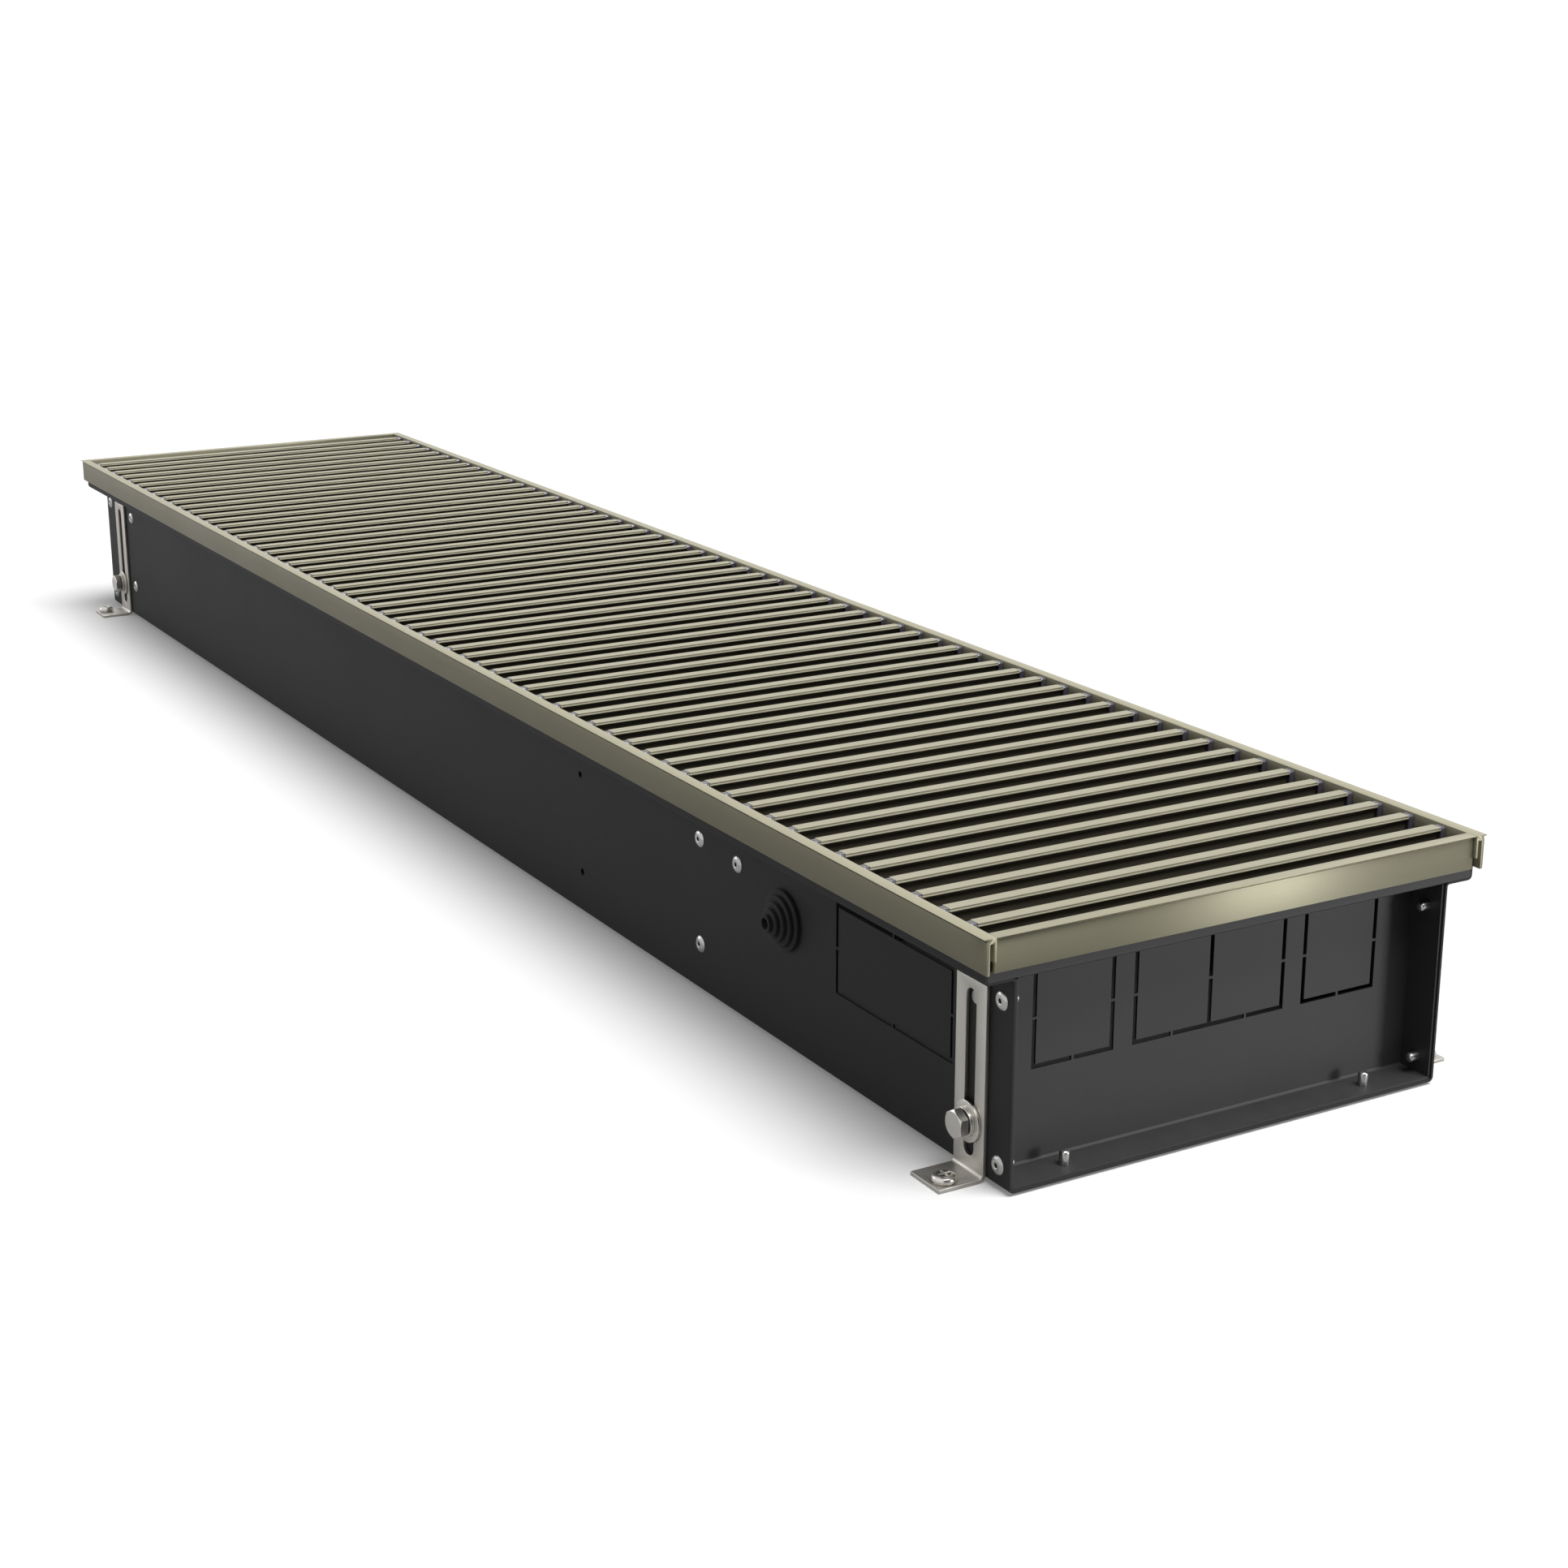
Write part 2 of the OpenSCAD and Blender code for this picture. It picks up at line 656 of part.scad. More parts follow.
// End panel: a folded pan between the walls, whose ledge and flange carry on those of the casing
module end_panel() {
    section = [
        [panel_lip_x, floor_z + lap_gap + sheet_t], [panel_x, floor_z + lap_gap + sheet_t],
        [panel_x, ledge_z], [end_x, ledge_z], [end_x, flange_top]
    ];
    flange_in_y = flange_y - sheet_t - lap_gap;
    leg_z = rim_top - leg_drop - lap_gap;
    color(charcoal) difference() {
        union() {
            along_y(corner_gap - plate_y, plate_y - corner_gap) folded(section, sheet_t, bend_r);
            block([end_x - sheet_t, -flange_in_y, ledge_top + lap_gap], [end_x, flange_in_y, leg_z]);
            block([end_x - sheet_t, -rim_end_y, ledge_top + lap_gap], [end_x, rim_end_y, flange_top]);
            both_sides() block([panel_x - sheet_t, plate_y - sheet_t, floor_z + lap_gap + sheet_t],
                [panel_lip_x, plate_y, ledge_z]);
        }
        for (y = [-ko_outer_y, -ko_inner_y, ko_inner_y, ko_outer_y]) translate([0, y, ko_mid_z])
            along_x(panel_x - sheet_t - cut, panel_x + cut) knock_out(ko_w, ko_h);
        rivet_holes();
    }
}

module end_panel_near() {
    end_panel();
}

module end_panel_far() {
    mirror([1, 0, 0]) end_panel();
}

// Section of the rim, measured from the outer face of the flange that it sits on
module rim_section() {
    skirt_y = skirt_gap + skirt_t;
    slot_y = -sheet_t - lap_gap;
    polygon([
        [rim_over, rim_top], [skirt_y, rim_top - rim_slope_h], [skirt_y, rim_top - skirt_drop],
        [skirt_gap, rim_top - skirt_drop], [skirt_gap, flange_top], [slot_y, flange_top],
        [slot_y, rim_top - leg_drop], [-leg_in, rim_top - leg_drop], [-leg_in, rim_top]
    ]);
}

module rim_side_right() {
    color(champagne) along_x(-rim_x, rim_x) translate([flange_y, 0]) rim_section();
}

module rim_side_left() {
    mirror([0, 1, 0]) rim_side_right();
}

module rim_end_near() {
    color(champagne) along_y(-rim_end_y, rim_end_y) translate([end_x, 0]) rim_section();
}

module rim_end_far() {
    mirror([1, 0, 0]) rim_end_near();
}

module damping_strip_right() {
    length = end_x - 2 * sheet_t;
    color(black) block([-length, strip_y, ledge_top], [length, strip_y + strip_w, ledge_top + strip_t]);
}

module damping_strip_left() {
    mirror([0, 1, 0]) damping_strip_right();
}

// Section of a grille bar: an I beam with a fine groove below each top edge
module bar_section() {
    half = bar_w / 2;
    web = bar_web_t / 2;
    groove_z = [for (share = groove_shares) bar_top - bar_flange_t * share];
    right = [
        [half, bar_top], [half, groove_z[0]], [half - bar_groove, groove_z[0]],
        [half - bar_groove, groove_z[1]], [half, groove_z[1]], [half, bar_top - bar_flange_t],
        [web, bar_top - bar_flange_t], [web, bar_z + bar_flange_t], [half, bar_z + bar_flange_t],
        [half, bar_z]
    ];
    polygon(concat(right, [for (p = reversed(right)) [-p[0], p[1]]]));
}

module at_bars() {
    for (i = [-bar_half_count : bar_half_count]) translate([i * bar_pitch, 0, 0]) children();
}

module grille_bars() {
    color(champagne) at_bars() difference() {
        along_y(-bar_y, bar_y) bar_section();
        for (y = [-wire_y, wire_y]) rod_x(-bar_w, bar_w, wire_d / 2 + hole_gap, y, wire_z);
    }
}

// A plug closes each end of a bar, with its corners taken off
module grille_end_plugs() {
    half = bar_w / 2 - lap_gap;
    off = bar_flange_t / 2;
    color(black) at_bars() both_sides() along_y(bar_y, plug_y) polygon([
        [half - off, bar_top - lap_gap], [off - half, bar_top - lap_gap], [-half, bar_top - off],
        [-half, bar_z + off], [off - half, bar_z], [half - off, bar_z], [half, bar_z + off],
        [half, bar_top - off]
    ]);
}

module grille_tie_wires() {
    reach = bar_x + bar_w / 2;
    color(steel) both_sides() rod_x(-reach, reach, wire_d / 2, wire_y, wire_z);
}

module grille_spacers() {
    gap = bar_web_t / 2 + lap_gap;
    color(black) both_sides() for (i = [-bar_half_count : bar_half_count - 1])
        tube_x(i * bar_pitch + gap, (i + 1) * bar_pitch - gap, sleeve_d / 2, wire_d / 2 + hole_gap,
            wire_y, wire_z);
}

// Levelling bracket on the right wall, its slot over the clamp bolt and its foot on the floor
module level_bracket(x, towards_end) {
    path = [[bracket_y, bracket_h], [bracket_y, 0], [foot_y, 0]];
    slot_r = slot_w / 2;
    low = slot_base + slot_r;
    high = bracket_h - slot_top_in - slot_r;
    from = bracket_y - cut;
    to = bracket_out_y + cut;
    color(steel) difference() {
        along_x(x - bracket_w / 2, x + bracket_w / 2) folded(path, bracket_t, bracket_r);
        block([x - slot_r, from, low], [x + slot_r, to, high]);
        rod_y(from, to, slot_r, x, low);
        rod_y(from, to, slot_r, x, high);
        rod_z(-cut, bracket_t + cut, foot_shank_d / 2 + hole_gap, x + towards_end * foot_screw_off,
            foot_y - foot_screw_in);
    }
}

module level_bracket_near_right() {
    level_bracket(bracket_near_x, 1);
}

module level_bracket_near_left() {
    mirror([0, 1, 0]) level_bracket(bracket_near_x, 1);
}

module level_bracket_far_right() {
    level_bracket(bracket_far_x, -1);
}

module level_bracket_far_left() {
    mirror([0, 1, 0]) level_bracket(bracket_far_x, -1);
}

// Domed screw head with a cross recess, its underside at zero
module pan_head(r, h) {
    recess = h * recess_share;
    difference() {
        rotate_extrude() polygon([
            [0, 0], [r, 0], [r, h * dome_shares[0]], [r * dome_shares[1], h * dome_shares[2]],
            [r * dome_shares[3], h], [0, h]
        ]);
        for (turn = [0, 90]) rotate(turn)
            block([-r * cross_shares[0], -r * cross_shares[1], h - recess],
                [r * cross_shares[0], r * cross_shares[1], h + cut]);
    }
}

// Screw in the bracket's foot, standing on a loose ring, its tip flush with the foot's underside
module foot_screw(x, towards_end) {
    head_z = bracket_t + foot_ring_t + lap_gap;
    translate([x + towards_end * foot_screw_off, foot_y - foot_screw_in, 0]) color(steel) {
        translate([0, 0, head_z]) pan_head(foot_head_d / 2, foot_head_h);
        cylinder(h = head_z, r = foot_shank_d / 2);
        translate([0, 0, bracket_t])
            ring(foot_head_d / 2 - foot_ring_t, foot_shank_d / 2 + hole_gap, foot_ring_t);
    }
}

module foot_screw_near_right() {
    foot_screw(bracket_near_x, 1);
}

module foot_screw_near_left() {
    mirror([0, 1, 0]) foot_screw(bracket_near_x, 1);
}

module foot_screw_far_right() {
    foot_screw(bracket_far_x, -1);
}

module foot_screw_far_left() {
    mirror([0, 1, 0]) foot_screw(bracket_far_x, -1);
}

// Pieces of the four clamps, each measured outwards from the wall's face
module at_clamps() {
    for (side = [-1, 1]) on_wall(side, bolt_places) children();
}

module clamp_bolts() {
    head_from = head_y - wall_y;
    head_r = bolt_af / 2 * corner_share;
    bevel = head_r - bolt_af / 2;
    color(steel) at_clamps() {
        translate([0, 0, head_from]) intersection() {
            cylinder(h = bolt_head_h, r = head_r, $fn = 6);
            union() {
                cylinder(h = bolt_head_h - bevel, r = head_r + cut);
                translate([0, 0, bolt_head_h - bevel])
                    cylinder(h = bevel, r1 = head_r, r2 = head_r - bevel * 2);
            }
        }
        translate([0, 0, -sheet_t - bolt_reach])
            cylinder(h = sheet_t + bolt_reach + head_from, r = bolt_d / 2);
    }
}

module clamp_washers() {
    color(steel) at_clamps() translate([0, 0, washer_y - wall_y])
        ring(washer_d / 2, bolt_d / 2 + 2 * hole_gap, washer_t);
}

// Spring washer, split at its top
module spring_washers() {
    split = spring_t / 2;
    color(steel) at_clamps() translate([0, 0, spring_y - wall_y]) difference() {
        ring(spring_d / 2, bolt_d / 2 + 2 * hole_gap, spring_t);
        block([-split / 2, -spring_d, -cut], [split / 2, 0, spring_t + cut]);
    }
}

// Clamp nut: a collar pressed into the wall and a round body behind it
module clamp_nuts() {
    color(steel) at_clamps() difference() {
        union() {
            translate([0, 0, -sheet_t]) cylinder(h = sheet_t, r = nut_collar_r);
            translate([0, 0, -sheet_t - nut_h]) cylinder(h = nut_h, r = nut_d / 2);
        }
        translate([0, 0, -sheet_t - nut_h - cut])
            cylinder(h = nut_h + sheet_t + 2 * cut, r = bolt_d / 2 + hole_gap);
    }
}

// Blind rivet through sheets of a given thickness, its head's underside at zero
module blind_rivet(grip) {
    head_r = rivet_head_d / 2;
    hole_r = rivet_d * rivet_hole_share;
    tail_r = rivet_d * rivet_tail_share;
    h = rivet_head_h;
    color(steel) rotate_extrude() polygon([
        [0, h * rivet_shares[0]], [hole_r, h * rivet_shares[0]], [hole_r, h],
        [head_r * rivet_shares[1], h], [head_r * rivet_shares[2], h * rivet_shares[3]], [head_r, 0],
        [rivet_d / 2, 0], [rivet_d / 2, -grip], [tail_r, -grip], [tail_r, tail_r - grip - rivet_tail],
        [hole_r, -grip - rivet_tail], [0, -grip - rivet_tail]
    ]);
}

module case_rivets() {
    lap = 2 * sheet_t + lap_gap;
    for (side = [-1, 1]) on_wall(side, concat(end_rivets, plate_rivets)) blind_rivet(lap);
    on_base(base_rivets) blind_rivet(lap);
    on_wall(-1, box_rivets) blind_rivet(sheet_t + lap_gap + box_t);
}

// Small rivets whose heads lie flush, so that the brackets slide over them
module slot_rivets() {
    tail_r = slot_rivet_head_d / 2;
    color(steel) for (side = [-1, 1]) on_wall(side, slot_rivet_places) {
        slot_rivet_head(0);
        translate([0, 0, -sheet_t - tail_r]) cylinder(h = tail_r, r = tail_r * corner_share / 2);
    }
}

// Rubber grommet: a stepped cone outside the wall and a lip behind it
module cable_grommet() {
    base_r = grommet_d / 2;
    step = grommet_out / grommet_steps;
    step_r = (base_r - grommet_tip_r) / (grommet_steps - 1);
    lip = sheet_t * 2;
    color(black) on_wall(-1, [[grommet_x, grommet_z]]) difference() {
        union() {
            for (i = [0 : grommet_steps - 1]) translate([0, 0, i * step])
                cylinder(h = step, r1 = base_r - i * step_r, r2 = base_r - i * step_r - step / 4);
            translate([0, 0, -sheet_t]) cylinder(h = sheet_t, r = grommet_neck_r);
            translate([0, 0, -sheet_t - lip]) cylinder(h = lip, r = base_r - step / 2);
        }
        translate([0, 0, grommet_out - step]) cylinder(h = step + cut, r = grommet_bore_r);
        translate([0, 0, -sheet_t - lip - cut])
            cylinder(h = grommet_out - step + sheet_t + lip, r1 = grommet_neck_r - sheet_t,
                r2 = grommet_bore_r);
    }
}

// Sheet from wall to wall with a flange on each wall, pointing towards +X
module cross_plate() {
    path = [[plate_lip, plate_y], [0, plate_y], [0, -plate_y], [plate_lip, -plate_y]];
    low = plate_z + bend_r;
    translate([0, 0, low]) linear_extrude(plate_top - low) folded(path, sheet_t, bend_r);
}

module tube_holes(x) {
    for (y = tube_y, z = tube_z) rod_x(x - cut, x + sheet_t + cut, tube_r + hole_gap, y, z);
}

module partition() {
    color(charcoal) difference() {
        translate([partition_x, 0, 0]) cross_plate();
        tube_holes(partition_x);
        rod_x(partition_x - cut, partition_x + sheet_t + cut, bush_r + lap_gap, cable_y, fan_z);
        plate_rivet_holes();
    }
}

module exchanger_support() {
    color(charcoal) difference() {
        translate([support_x + sheet_t, 0, 0]) mirror([1, 0, 0]) cross_plate();
        tube_holes(support_x);
        plate_rivet_holes();
    }
}

module exchanger_fins() {
    color("#c4c8ca") for (i = [0 : fin_count - 1]) translate([fin_far_x + i * fin_pitch, 0, 0])
        difference() {
            block([0, fin_y, fin_z], [fin_t, fin_y + fin_w, fin_z + fin_h]);
            for (y = tube_y, z = tube_z) rod_x(-cut, fin_t + cut, tube_r + lap_gap, y, z);
        }
}

// Upper tubes run into the sockets, lower ones to the bend in the connection bay
module exchanger_tubes() {
    ends = [tube_turn_x, socket_x - socket_l + socket_seat];
    color("#b0714a") for (y = tube_y, row = [0, 1])
        tube_x(tube_far_x, ends[row], tube_r, tube_r - tube_wall, y, tube_z[row]);
}

module return_bend(r) {
    rotate_extrude(angle = 180) translate([r, 0]) difference() {
        circle(r = tube_r);
        circle(r = tube_r - tube_wall);
    }
}

module return_bends() {
    middle_z = (tube_z[0] + tube_z[1]) / 2;
    middle_y = (tube_y[0] + tube_y[1]) / 2;
    color("#b0714a") {
        for (y = tube_y) translate([tube_far_x, y, middle_z]) rotate([90, 0, 0]) rotate(90)
            return_bend((tube_z[1] - tube_z[0]) / 2);
        translate([tube_turn_x, middle_y, tube_z[0]]) rotate(-90)
            return_bend((tube_y[1] - tube_y[0]) / 2);
    }
}

// Socket with an inside thread at its mouth and a seat for the tube at its back
module water_sockets() {
    back = socket_x - socket_l;
    hex_r = socket_d / 2;
    color("#c2a25a") for (y = tube_y) difference() {
        union() {
            rod_x(back, socket_x, thread_d / 2 + tube_wall * 2, y, tube_z[1]);
            translate([socket_x - thread_l, y, tube_z[1]]) rotate([0, 90, 0])
                cylinder(h = thread_l, r = hex_r, $fn = 6);
        }
        rod_x(socket_x - thread_l, socket_x + cut, thread_d / 2, y, tube_z[1]);
        rod_x(back - cut, back + socket_seat, tube_r + lap_gap, y, tube_z[1]);
        rod_x(back, socket_x, tube_r - tube_wall, y, tube_z[1]);
    }
}

// Air vent: a hexagonal boss saddled on the upper right tube
module air_vent() {
    color("#c2a25a") difference() {
        translate([vent_x, tube_y[1], tube_z[1]])
            cylinder(h = tube_r + vent_h, r = vent_af / 2 * corner_share, $fn = 6);
        rod_x(vent_x - vent_af, vent_x + vent_af, tube_r + lap_gap, tube_y[1], tube_z[1]);
        rod_z(vent_top - vent_h / 2, vent_top + cut, bleed_r + run_gap, vent_x, tube_y[1]);
    }
}

module bleed_screw() {
    head_z = vent_top + slide_gap;
    head_r = vent_af * bleed_head_share;
    slot = bleed_r * recess_share;
    color(steel) difference() {
        union() {
            rod_z(vent_top - vent_h / 2 + slide_gap, head_z, bleed_r, vent_x, tube_y[1]);
            rod_z(head_z, head_z + head_r, head_r, vent_x, tube_y[1]);
        }
        block([vent_x - head_r * 2, tube_y[1] - slot / 2, head_z + head_r - slot],
            [vent_x + head_r * 2, tube_y[1] + slot / 2, head_z + head_r + cut]);
    }
}

// Outside of a fan housing's guide sheet: down the wall's side, round the wheel and out to the fins
function duct_path() = concat(
    [[duct_wall_y, duct_top]],
    [for (i = [0 : duct_steps])
        let (a = 180 + 90 * i / duct_steps,
            r = duct_back + (fan_z - plate_z - duct_back) * i / duct_steps)
        [fan_y + r * cos(a), fan_z + r * sin(a)]],
    [[duct_in_y, plate_z]]
);

// Fan housing between two places, with its bearing's hole in the plate at bearing_x
module fan_housing(from, to, bearing_x, plain_x) {
    tongue_h = duct_back / 4;
    tip = [fan_y + duct_r * cos(tongue_angle), fan_z + duct_r * sin(tongue_angle)];
    color("#a9acab") difference() {
        union() {
            along_x(from, to) strip(duct_path(), duct_t);
            along_x(from, to)
                strip([tip, [duct_in_y, duct_top - tongue_h], [duct_in_y, duct_top]], duct_t);
            for (x = [from, to - duct_t]) along_x(x, x + duct_t)
                polygon(concat(duct_path(), [[duct_in_y, duct_top]]));
        }
        rod_x(bearing_x - cut, bearing_x + duct_t + cut, rubber_d / 2 + lap_gap, fan_y, fan_z);
        rod_x(plain_x - cut, plain_x + duct_t + cut, shaft_d, fan_y, fan_z);
    }
}

module fan_housing_near() {
    fan_housing(duct_near[0], duct_near[1], duct_near[1] - duct_t, duct_near[0]);
}

module fan_housing_far() {
    fan_housing(duct_far[0], duct_far[1], duct_far[0], duct_far[1] - duct_t);
}

// Cross-flow wheel between two places: curved blades held by discs, with a hub in each end disc
module fan_wheel(from, to) {
    length = to - from;
    sweep = blade_chord / 2;
    blade = [for (i = [0 : blade_steps])
        [wheel_r - lap_gap - blade_chord * i / blade_steps, sweep * sin(180 * i / blade_steps) / 2]];
    translate([from, fan_y, fan_z]) rotate([90, 0, 90]) color("#8f9496") difference() {
        union() {
            linear_extrude(length) for (i = [0 : blade_count - 1]) rotate(360 * i / blade_count)
                strip(blade, blade_t);
            for (share = [0 : 1 / wheel_bays : 1]) translate([0, 0, (length - disc_t) * share])
                ring(wheel_r, wheel_r - blade_chord, disc_t);
            for (z = [0, length - disc_t]) translate([0, 0, z]) cylinder(h = disc_t, r = wheel_r);
            for (z = [0, length - hub_l]) translate([0, 0, z]) cylinder(h = hub_l, r = shaft_d);
        }
        for (z = [-cut, length - hub_l - cut]) translate([0, 0, z])
            cylinder(h = hub_l + 2 * cut, r = shaft_d / 2 + lap_gap);
    }
}

module fan_wheel_near() {
    fan_wheel(wheel_near[0], wheel_near[1]);
}

module fan_wheel_far() {
    fan_wheel(wheel_far[0], wheel_far[1]);
}

// Motor shaft from wheel to wheel, and a stub shaft at the outer end of each wheel
module fan_shafts() {
    color(steel) {
        rod_x(wheel_far[1] - hub_l, wheel_near[0] + hub_l, shaft_d / 2, fan_y, fan_z);
        rod_x(wheel_near[1] - hub_l, bearing_near_x + bearing_l / 2, shaft_d / 2, fan_y, fan_z);
        rod_x(bearing_far_x - bearing_l / 2, wheel_far[0] + hub_l, shaft_d / 2, fan_y, fan_z);
    }
}

// Bronze bushes in the outer plates of the housings and in the motor's noses
module shaft_bearings() {
    half = bearing_l / 2;
    nose_x = motor_face + half;
    color("#b58a4a") for (x = [bearing_near_x, bearing_far_x, motor_x - nose_x, motor_x + nose_x])
        tube_x(x - half, x + half, bearing_d / 2, shaft_d / 2 + run_gap, fan_y, fan_z);
}

// Rubber holder in a sheet whose middle is at x, with a lip on each side of the sheet
module rubber_holder(x, t, neck_r, bore_r, y) {
    lip_t = rubber_lip - lap_gap;
    difference() {
        union() {
            rod_x(x - t / 2 - lap_gap, x + t / 2 + lap_gap, neck_r, y, fan_z);
            for (from = [x - t / 2 - rubber_lip, x + t / 2 + lap_gap])
                rod_x(from, from + lip_t, neck_r + rubber_lip, y, fan_z);
        }
        rod_x(x - t - rubber_lip, x + t + rubber_lip, bore_r, y, fan_z);
    }
}

module bearing_rubbers() {
    color(black) for (x = [bearing_near_x, bearing_far_x])
        rubber_holder(x, duct_t, rubber_d / 2, bearing_d / 2 + lap_gap, fan_y);
}

module motor_rings() {
    color(black) for (side = [-1, 1])
        rubber_holder(motor_x + side * (motor_arm + sheet_t / 2), sheet_t, ring_r, nose_r + lap_gap,
            fan_y);
}

module motor_nose(from) {
    tube_x(from, from + nose_l, nose_r, bearing_d / 2 + lap_gap, fan_y, fan_z);
}

module motor_housing() {
    color("#6f7375") difference() {
        union() {
            rod_x(motor_far_x, motor_near_x - motor_wall, motor_r, fan_y, fan_z);
            rod_x(motor_far_x - nose_l, motor_far_x, nose_r, fan_y, fan_z);
        }
        rod_x(motor_far_x + motor_wall, motor_near_x, motor_r - motor_wall, fan_y, fan_z);
        rod_x(motor_far_x - nose_l - cut, motor_near_x, bearing_d / 2 + lap_gap, fan_y, fan_z);
        rod_y(fan_y - motor_r - cut, fan_y, cable_r + hole_gap, motor_x, fan_z);
    }
}

module motor_cap() {
    color("#6f7375") {
        tube_x(motor_near_x - motor_wall, motor_near_x, motor_r, bearing_d / 2 + lap_gap, fan_y, fan_z);
        motor_nose(motor_near_x);
    }
}

module motor_stator() {
    half = motor_l * stator_l_share / 2;
    color("#8d8d8d") tube_x(motor_x - half, motor_x + half, motor_r - motor_wall - lap_gap, stator_r,
        fan_y, fan_z);
}

module motor_windings() {
    half = motor_l * stator_l_share / 2;
    depth = motor_l * winding_share;
    color("#a5572c") for (from = [-half - depth, half]) tube_x(motor_x + from, motor_x + from + depth,
        motor_r * winding_r_share, stator_r + motor_wall, fan_y, fan_z);
}

module motor_rotor() {
    half = motor_l * stator_l_share / 2;
    color("#8d8d8d") tube_x(motor_x - half, motor_x + half, stator_r - slide_gap, shaft_d / 2 + lap_gap,
        fan_y, fan_z);
}

// Bracket folded round the motor, its base on the casing's floor
module motor_bracket() {
    half = motor_arm + sheet_t;
    top = fan_z + motor_r;
    path = [
        [motor_x - half, top], [motor_x - half, plate_z], [motor_x + half, plate_z], [motor_x + half, top]
    ];
    color("#a9acab") difference() {
        along_y(fan_y - motor_r, fan_y + motor_r) folded(path, sheet_t, bend_r);
        rod_x(motor_x - half - cut, motor_x + half + cut, ring_r + lap_gap, fan_y, fan_z);
    }
}

module box_corners() {
    for (x = [box_x + post_r, box_x + box_l - post_r], y = [box_y + post_r, box_y + box_w - post_r])
        translate([x, y, 0]) children();
}

module terminal_box() {
    floor_top = box_z + box_t;
    color("#3a3b3d") difference() {
        block([box_x, box_y, box_z], [box_x + box_l, box_y + box_w, box_top]);
        difference() {
            block([box_x + box_t, box_y + box_t, floor_top],
                [box_x + box_l - box_t, box_y + box_w - box_t, box_top + cut]);
            box_corners() translate([0, 0, box_top - screw_l - post_r])
                cylinder(h = screw_l + post_r, r = post_r);
        }
        box_corners() translate([0, 0, box_top - screw_l]) cylinder(h = screw_l + cut,
            r = screw_r + hole_gap);
        rod_x(box_x - cut, box_x + box_l + cut, gland_d / 2 + hole_gap, cable_y, fan_z);
        plate_rivet_holes();
    }
}

module terminal_lid() {
    color("#3a3b3d") difference() {
        block([box_x, box_y, box_top], [box_x + box_l, box_y + box_w, box_top + lid_t]);
        box_corners() translate([0, 0, box_top - cut]) cylinder(h = lid_t + 2 * cut,
            r = screw_r + hole_gap);
    }
}

module lid_screws() {
    color(steel) box_corners() {
        translate([0, 0, box_top + lid_t]) pan_head(screw_r * 2, screw_r);
        translate([0, 0, box_top + lid_t - screw_l]) cylinder(h = screw_l, r = screw_r);
    }
}

// Terminal block on the floor of its box, with a row of clamp screws on top
module at_poles() {
    for (i = [0 : pole_count - 1]) translate([box_x + box_l / 2 + (i - (pole_count - 1) / 2) * pole_pitch,
        box_y + box_w - box_t - pole_pitch * 2, box_z + box_t + lap_gap]) children();
}

module terminal_block() {
    color("#d8d6cc") difference() {
        at_poles() {
            block([-pole_pitch, -pole_pitch, 0], [pole_pitch, pole_pitch, pole_pitch]);
            block([-pole_pitch / 2, -pole_pitch / 2, 0], [pole_pitch / 2, pole_pitch / 2, pole_pitch * 2]);
        }
        at_poles() translate([0, 0, pole_pitch]) cylinder(h = pole_pitch + cut, r = screw_r + hole_gap);
    }
}

module terminal_screws() {
    color("#c2a25a") at_poles() translate([0, 0, pole_pitch]) difference() {
        cylinder(h = pole_pitch - screw_r / 2, r = screw_r);
        block([-screw_r * 2, -screw_r / 4, pole_pitch - screw_r], [screw_r * 2, screw_r / 4, pole_pitch]);
    }
}

// Cable gland through the box's wall, measured outwards from the wall's face
module cable_gland() {
    dome_l = gland_nut_l / 4;
    lock_l = gland_flange_l - cut;
    difference() {
        union() {
            cylinder(h = gland_flange_l, r = gland_af / 2 * corner_share, $fn = 6);
            cylinder(h = gland_nut_l - dome_l, r = gland_nut_af / 2);
            translate([0, 0, gland_nut_l - dome_l])
                cylinder(h = dome_l, r1 = gland_nut_af / 2, r2 = gland_nut_af / 2 - dome_l);
            translate([0, 0, -box_t - lock_l]) cylinder(h = box_t + lock_l, r = gland_d / 2);
            translate([0, 0, -box_t - lock_l])
                cylinder(h = lock_l - lap_gap, r = gland_nut_af / 2 * corner_share, $fn = 6);
        }
        translate([0, 0, -box_t - lock_l - cut])
            cylinder(h = gland_nut_l + box_t + lock_l + 2 * cut, r = cable_r + hole_gap);
    }
}

module cable_glands() {
    color(black) {
        translate([box_x + box_l, cable_y, fan_z]) rotate([0, 90, 0]) cable_gland();
        translate([box_x, cable_y, fan_z]) rotate([0, -90, 0]) cable_gland();
    }
}

// Motor cable from the terminal box along the left wall and round into the motor's side
module motor_cable() {
    bend_y = cable_y + cable_bend;
    color(black) {
        rod_x(motor_x + cable_bend, box_x + box_t * 4, cable_r, cable_y, fan_z);
        translate([motor_x + cable_bend, bend_y, fan_z]) rotate(180) rotate_extrude(angle = 90)
            translate([cable_bend, 0]) circle(r = cable_r);
        rod_y(bend_y, fan_y - motor_r + motor_wall, cable_r, motor_x, fan_z);
    }
}

// Clips that hold the cable to the wall: a ring on a pad
module cable_clips() {
    half = cable_d / 2;
    outer = cable_r + motor_wall;
    color(black) for (share = clip_shares)
        translate([duct_near[0] + (duct_near[1] - duct_near[0]) * share, 0, 0]) difference() {
            union() {
                rod_x(-half, half, outer, cable_y, fan_z);
                block([-half, box_y, fan_z - half / 2], [half, cable_y, fan_z + half / 2]);
                block([-half, box_y, fan_z - cable_d], [half, box_y + motor_wall, fan_z + cable_d]);
            }
            rod_x(-half - cut, half + cut, cable_r + lap_gap, cable_y, fan_z);
        }
}

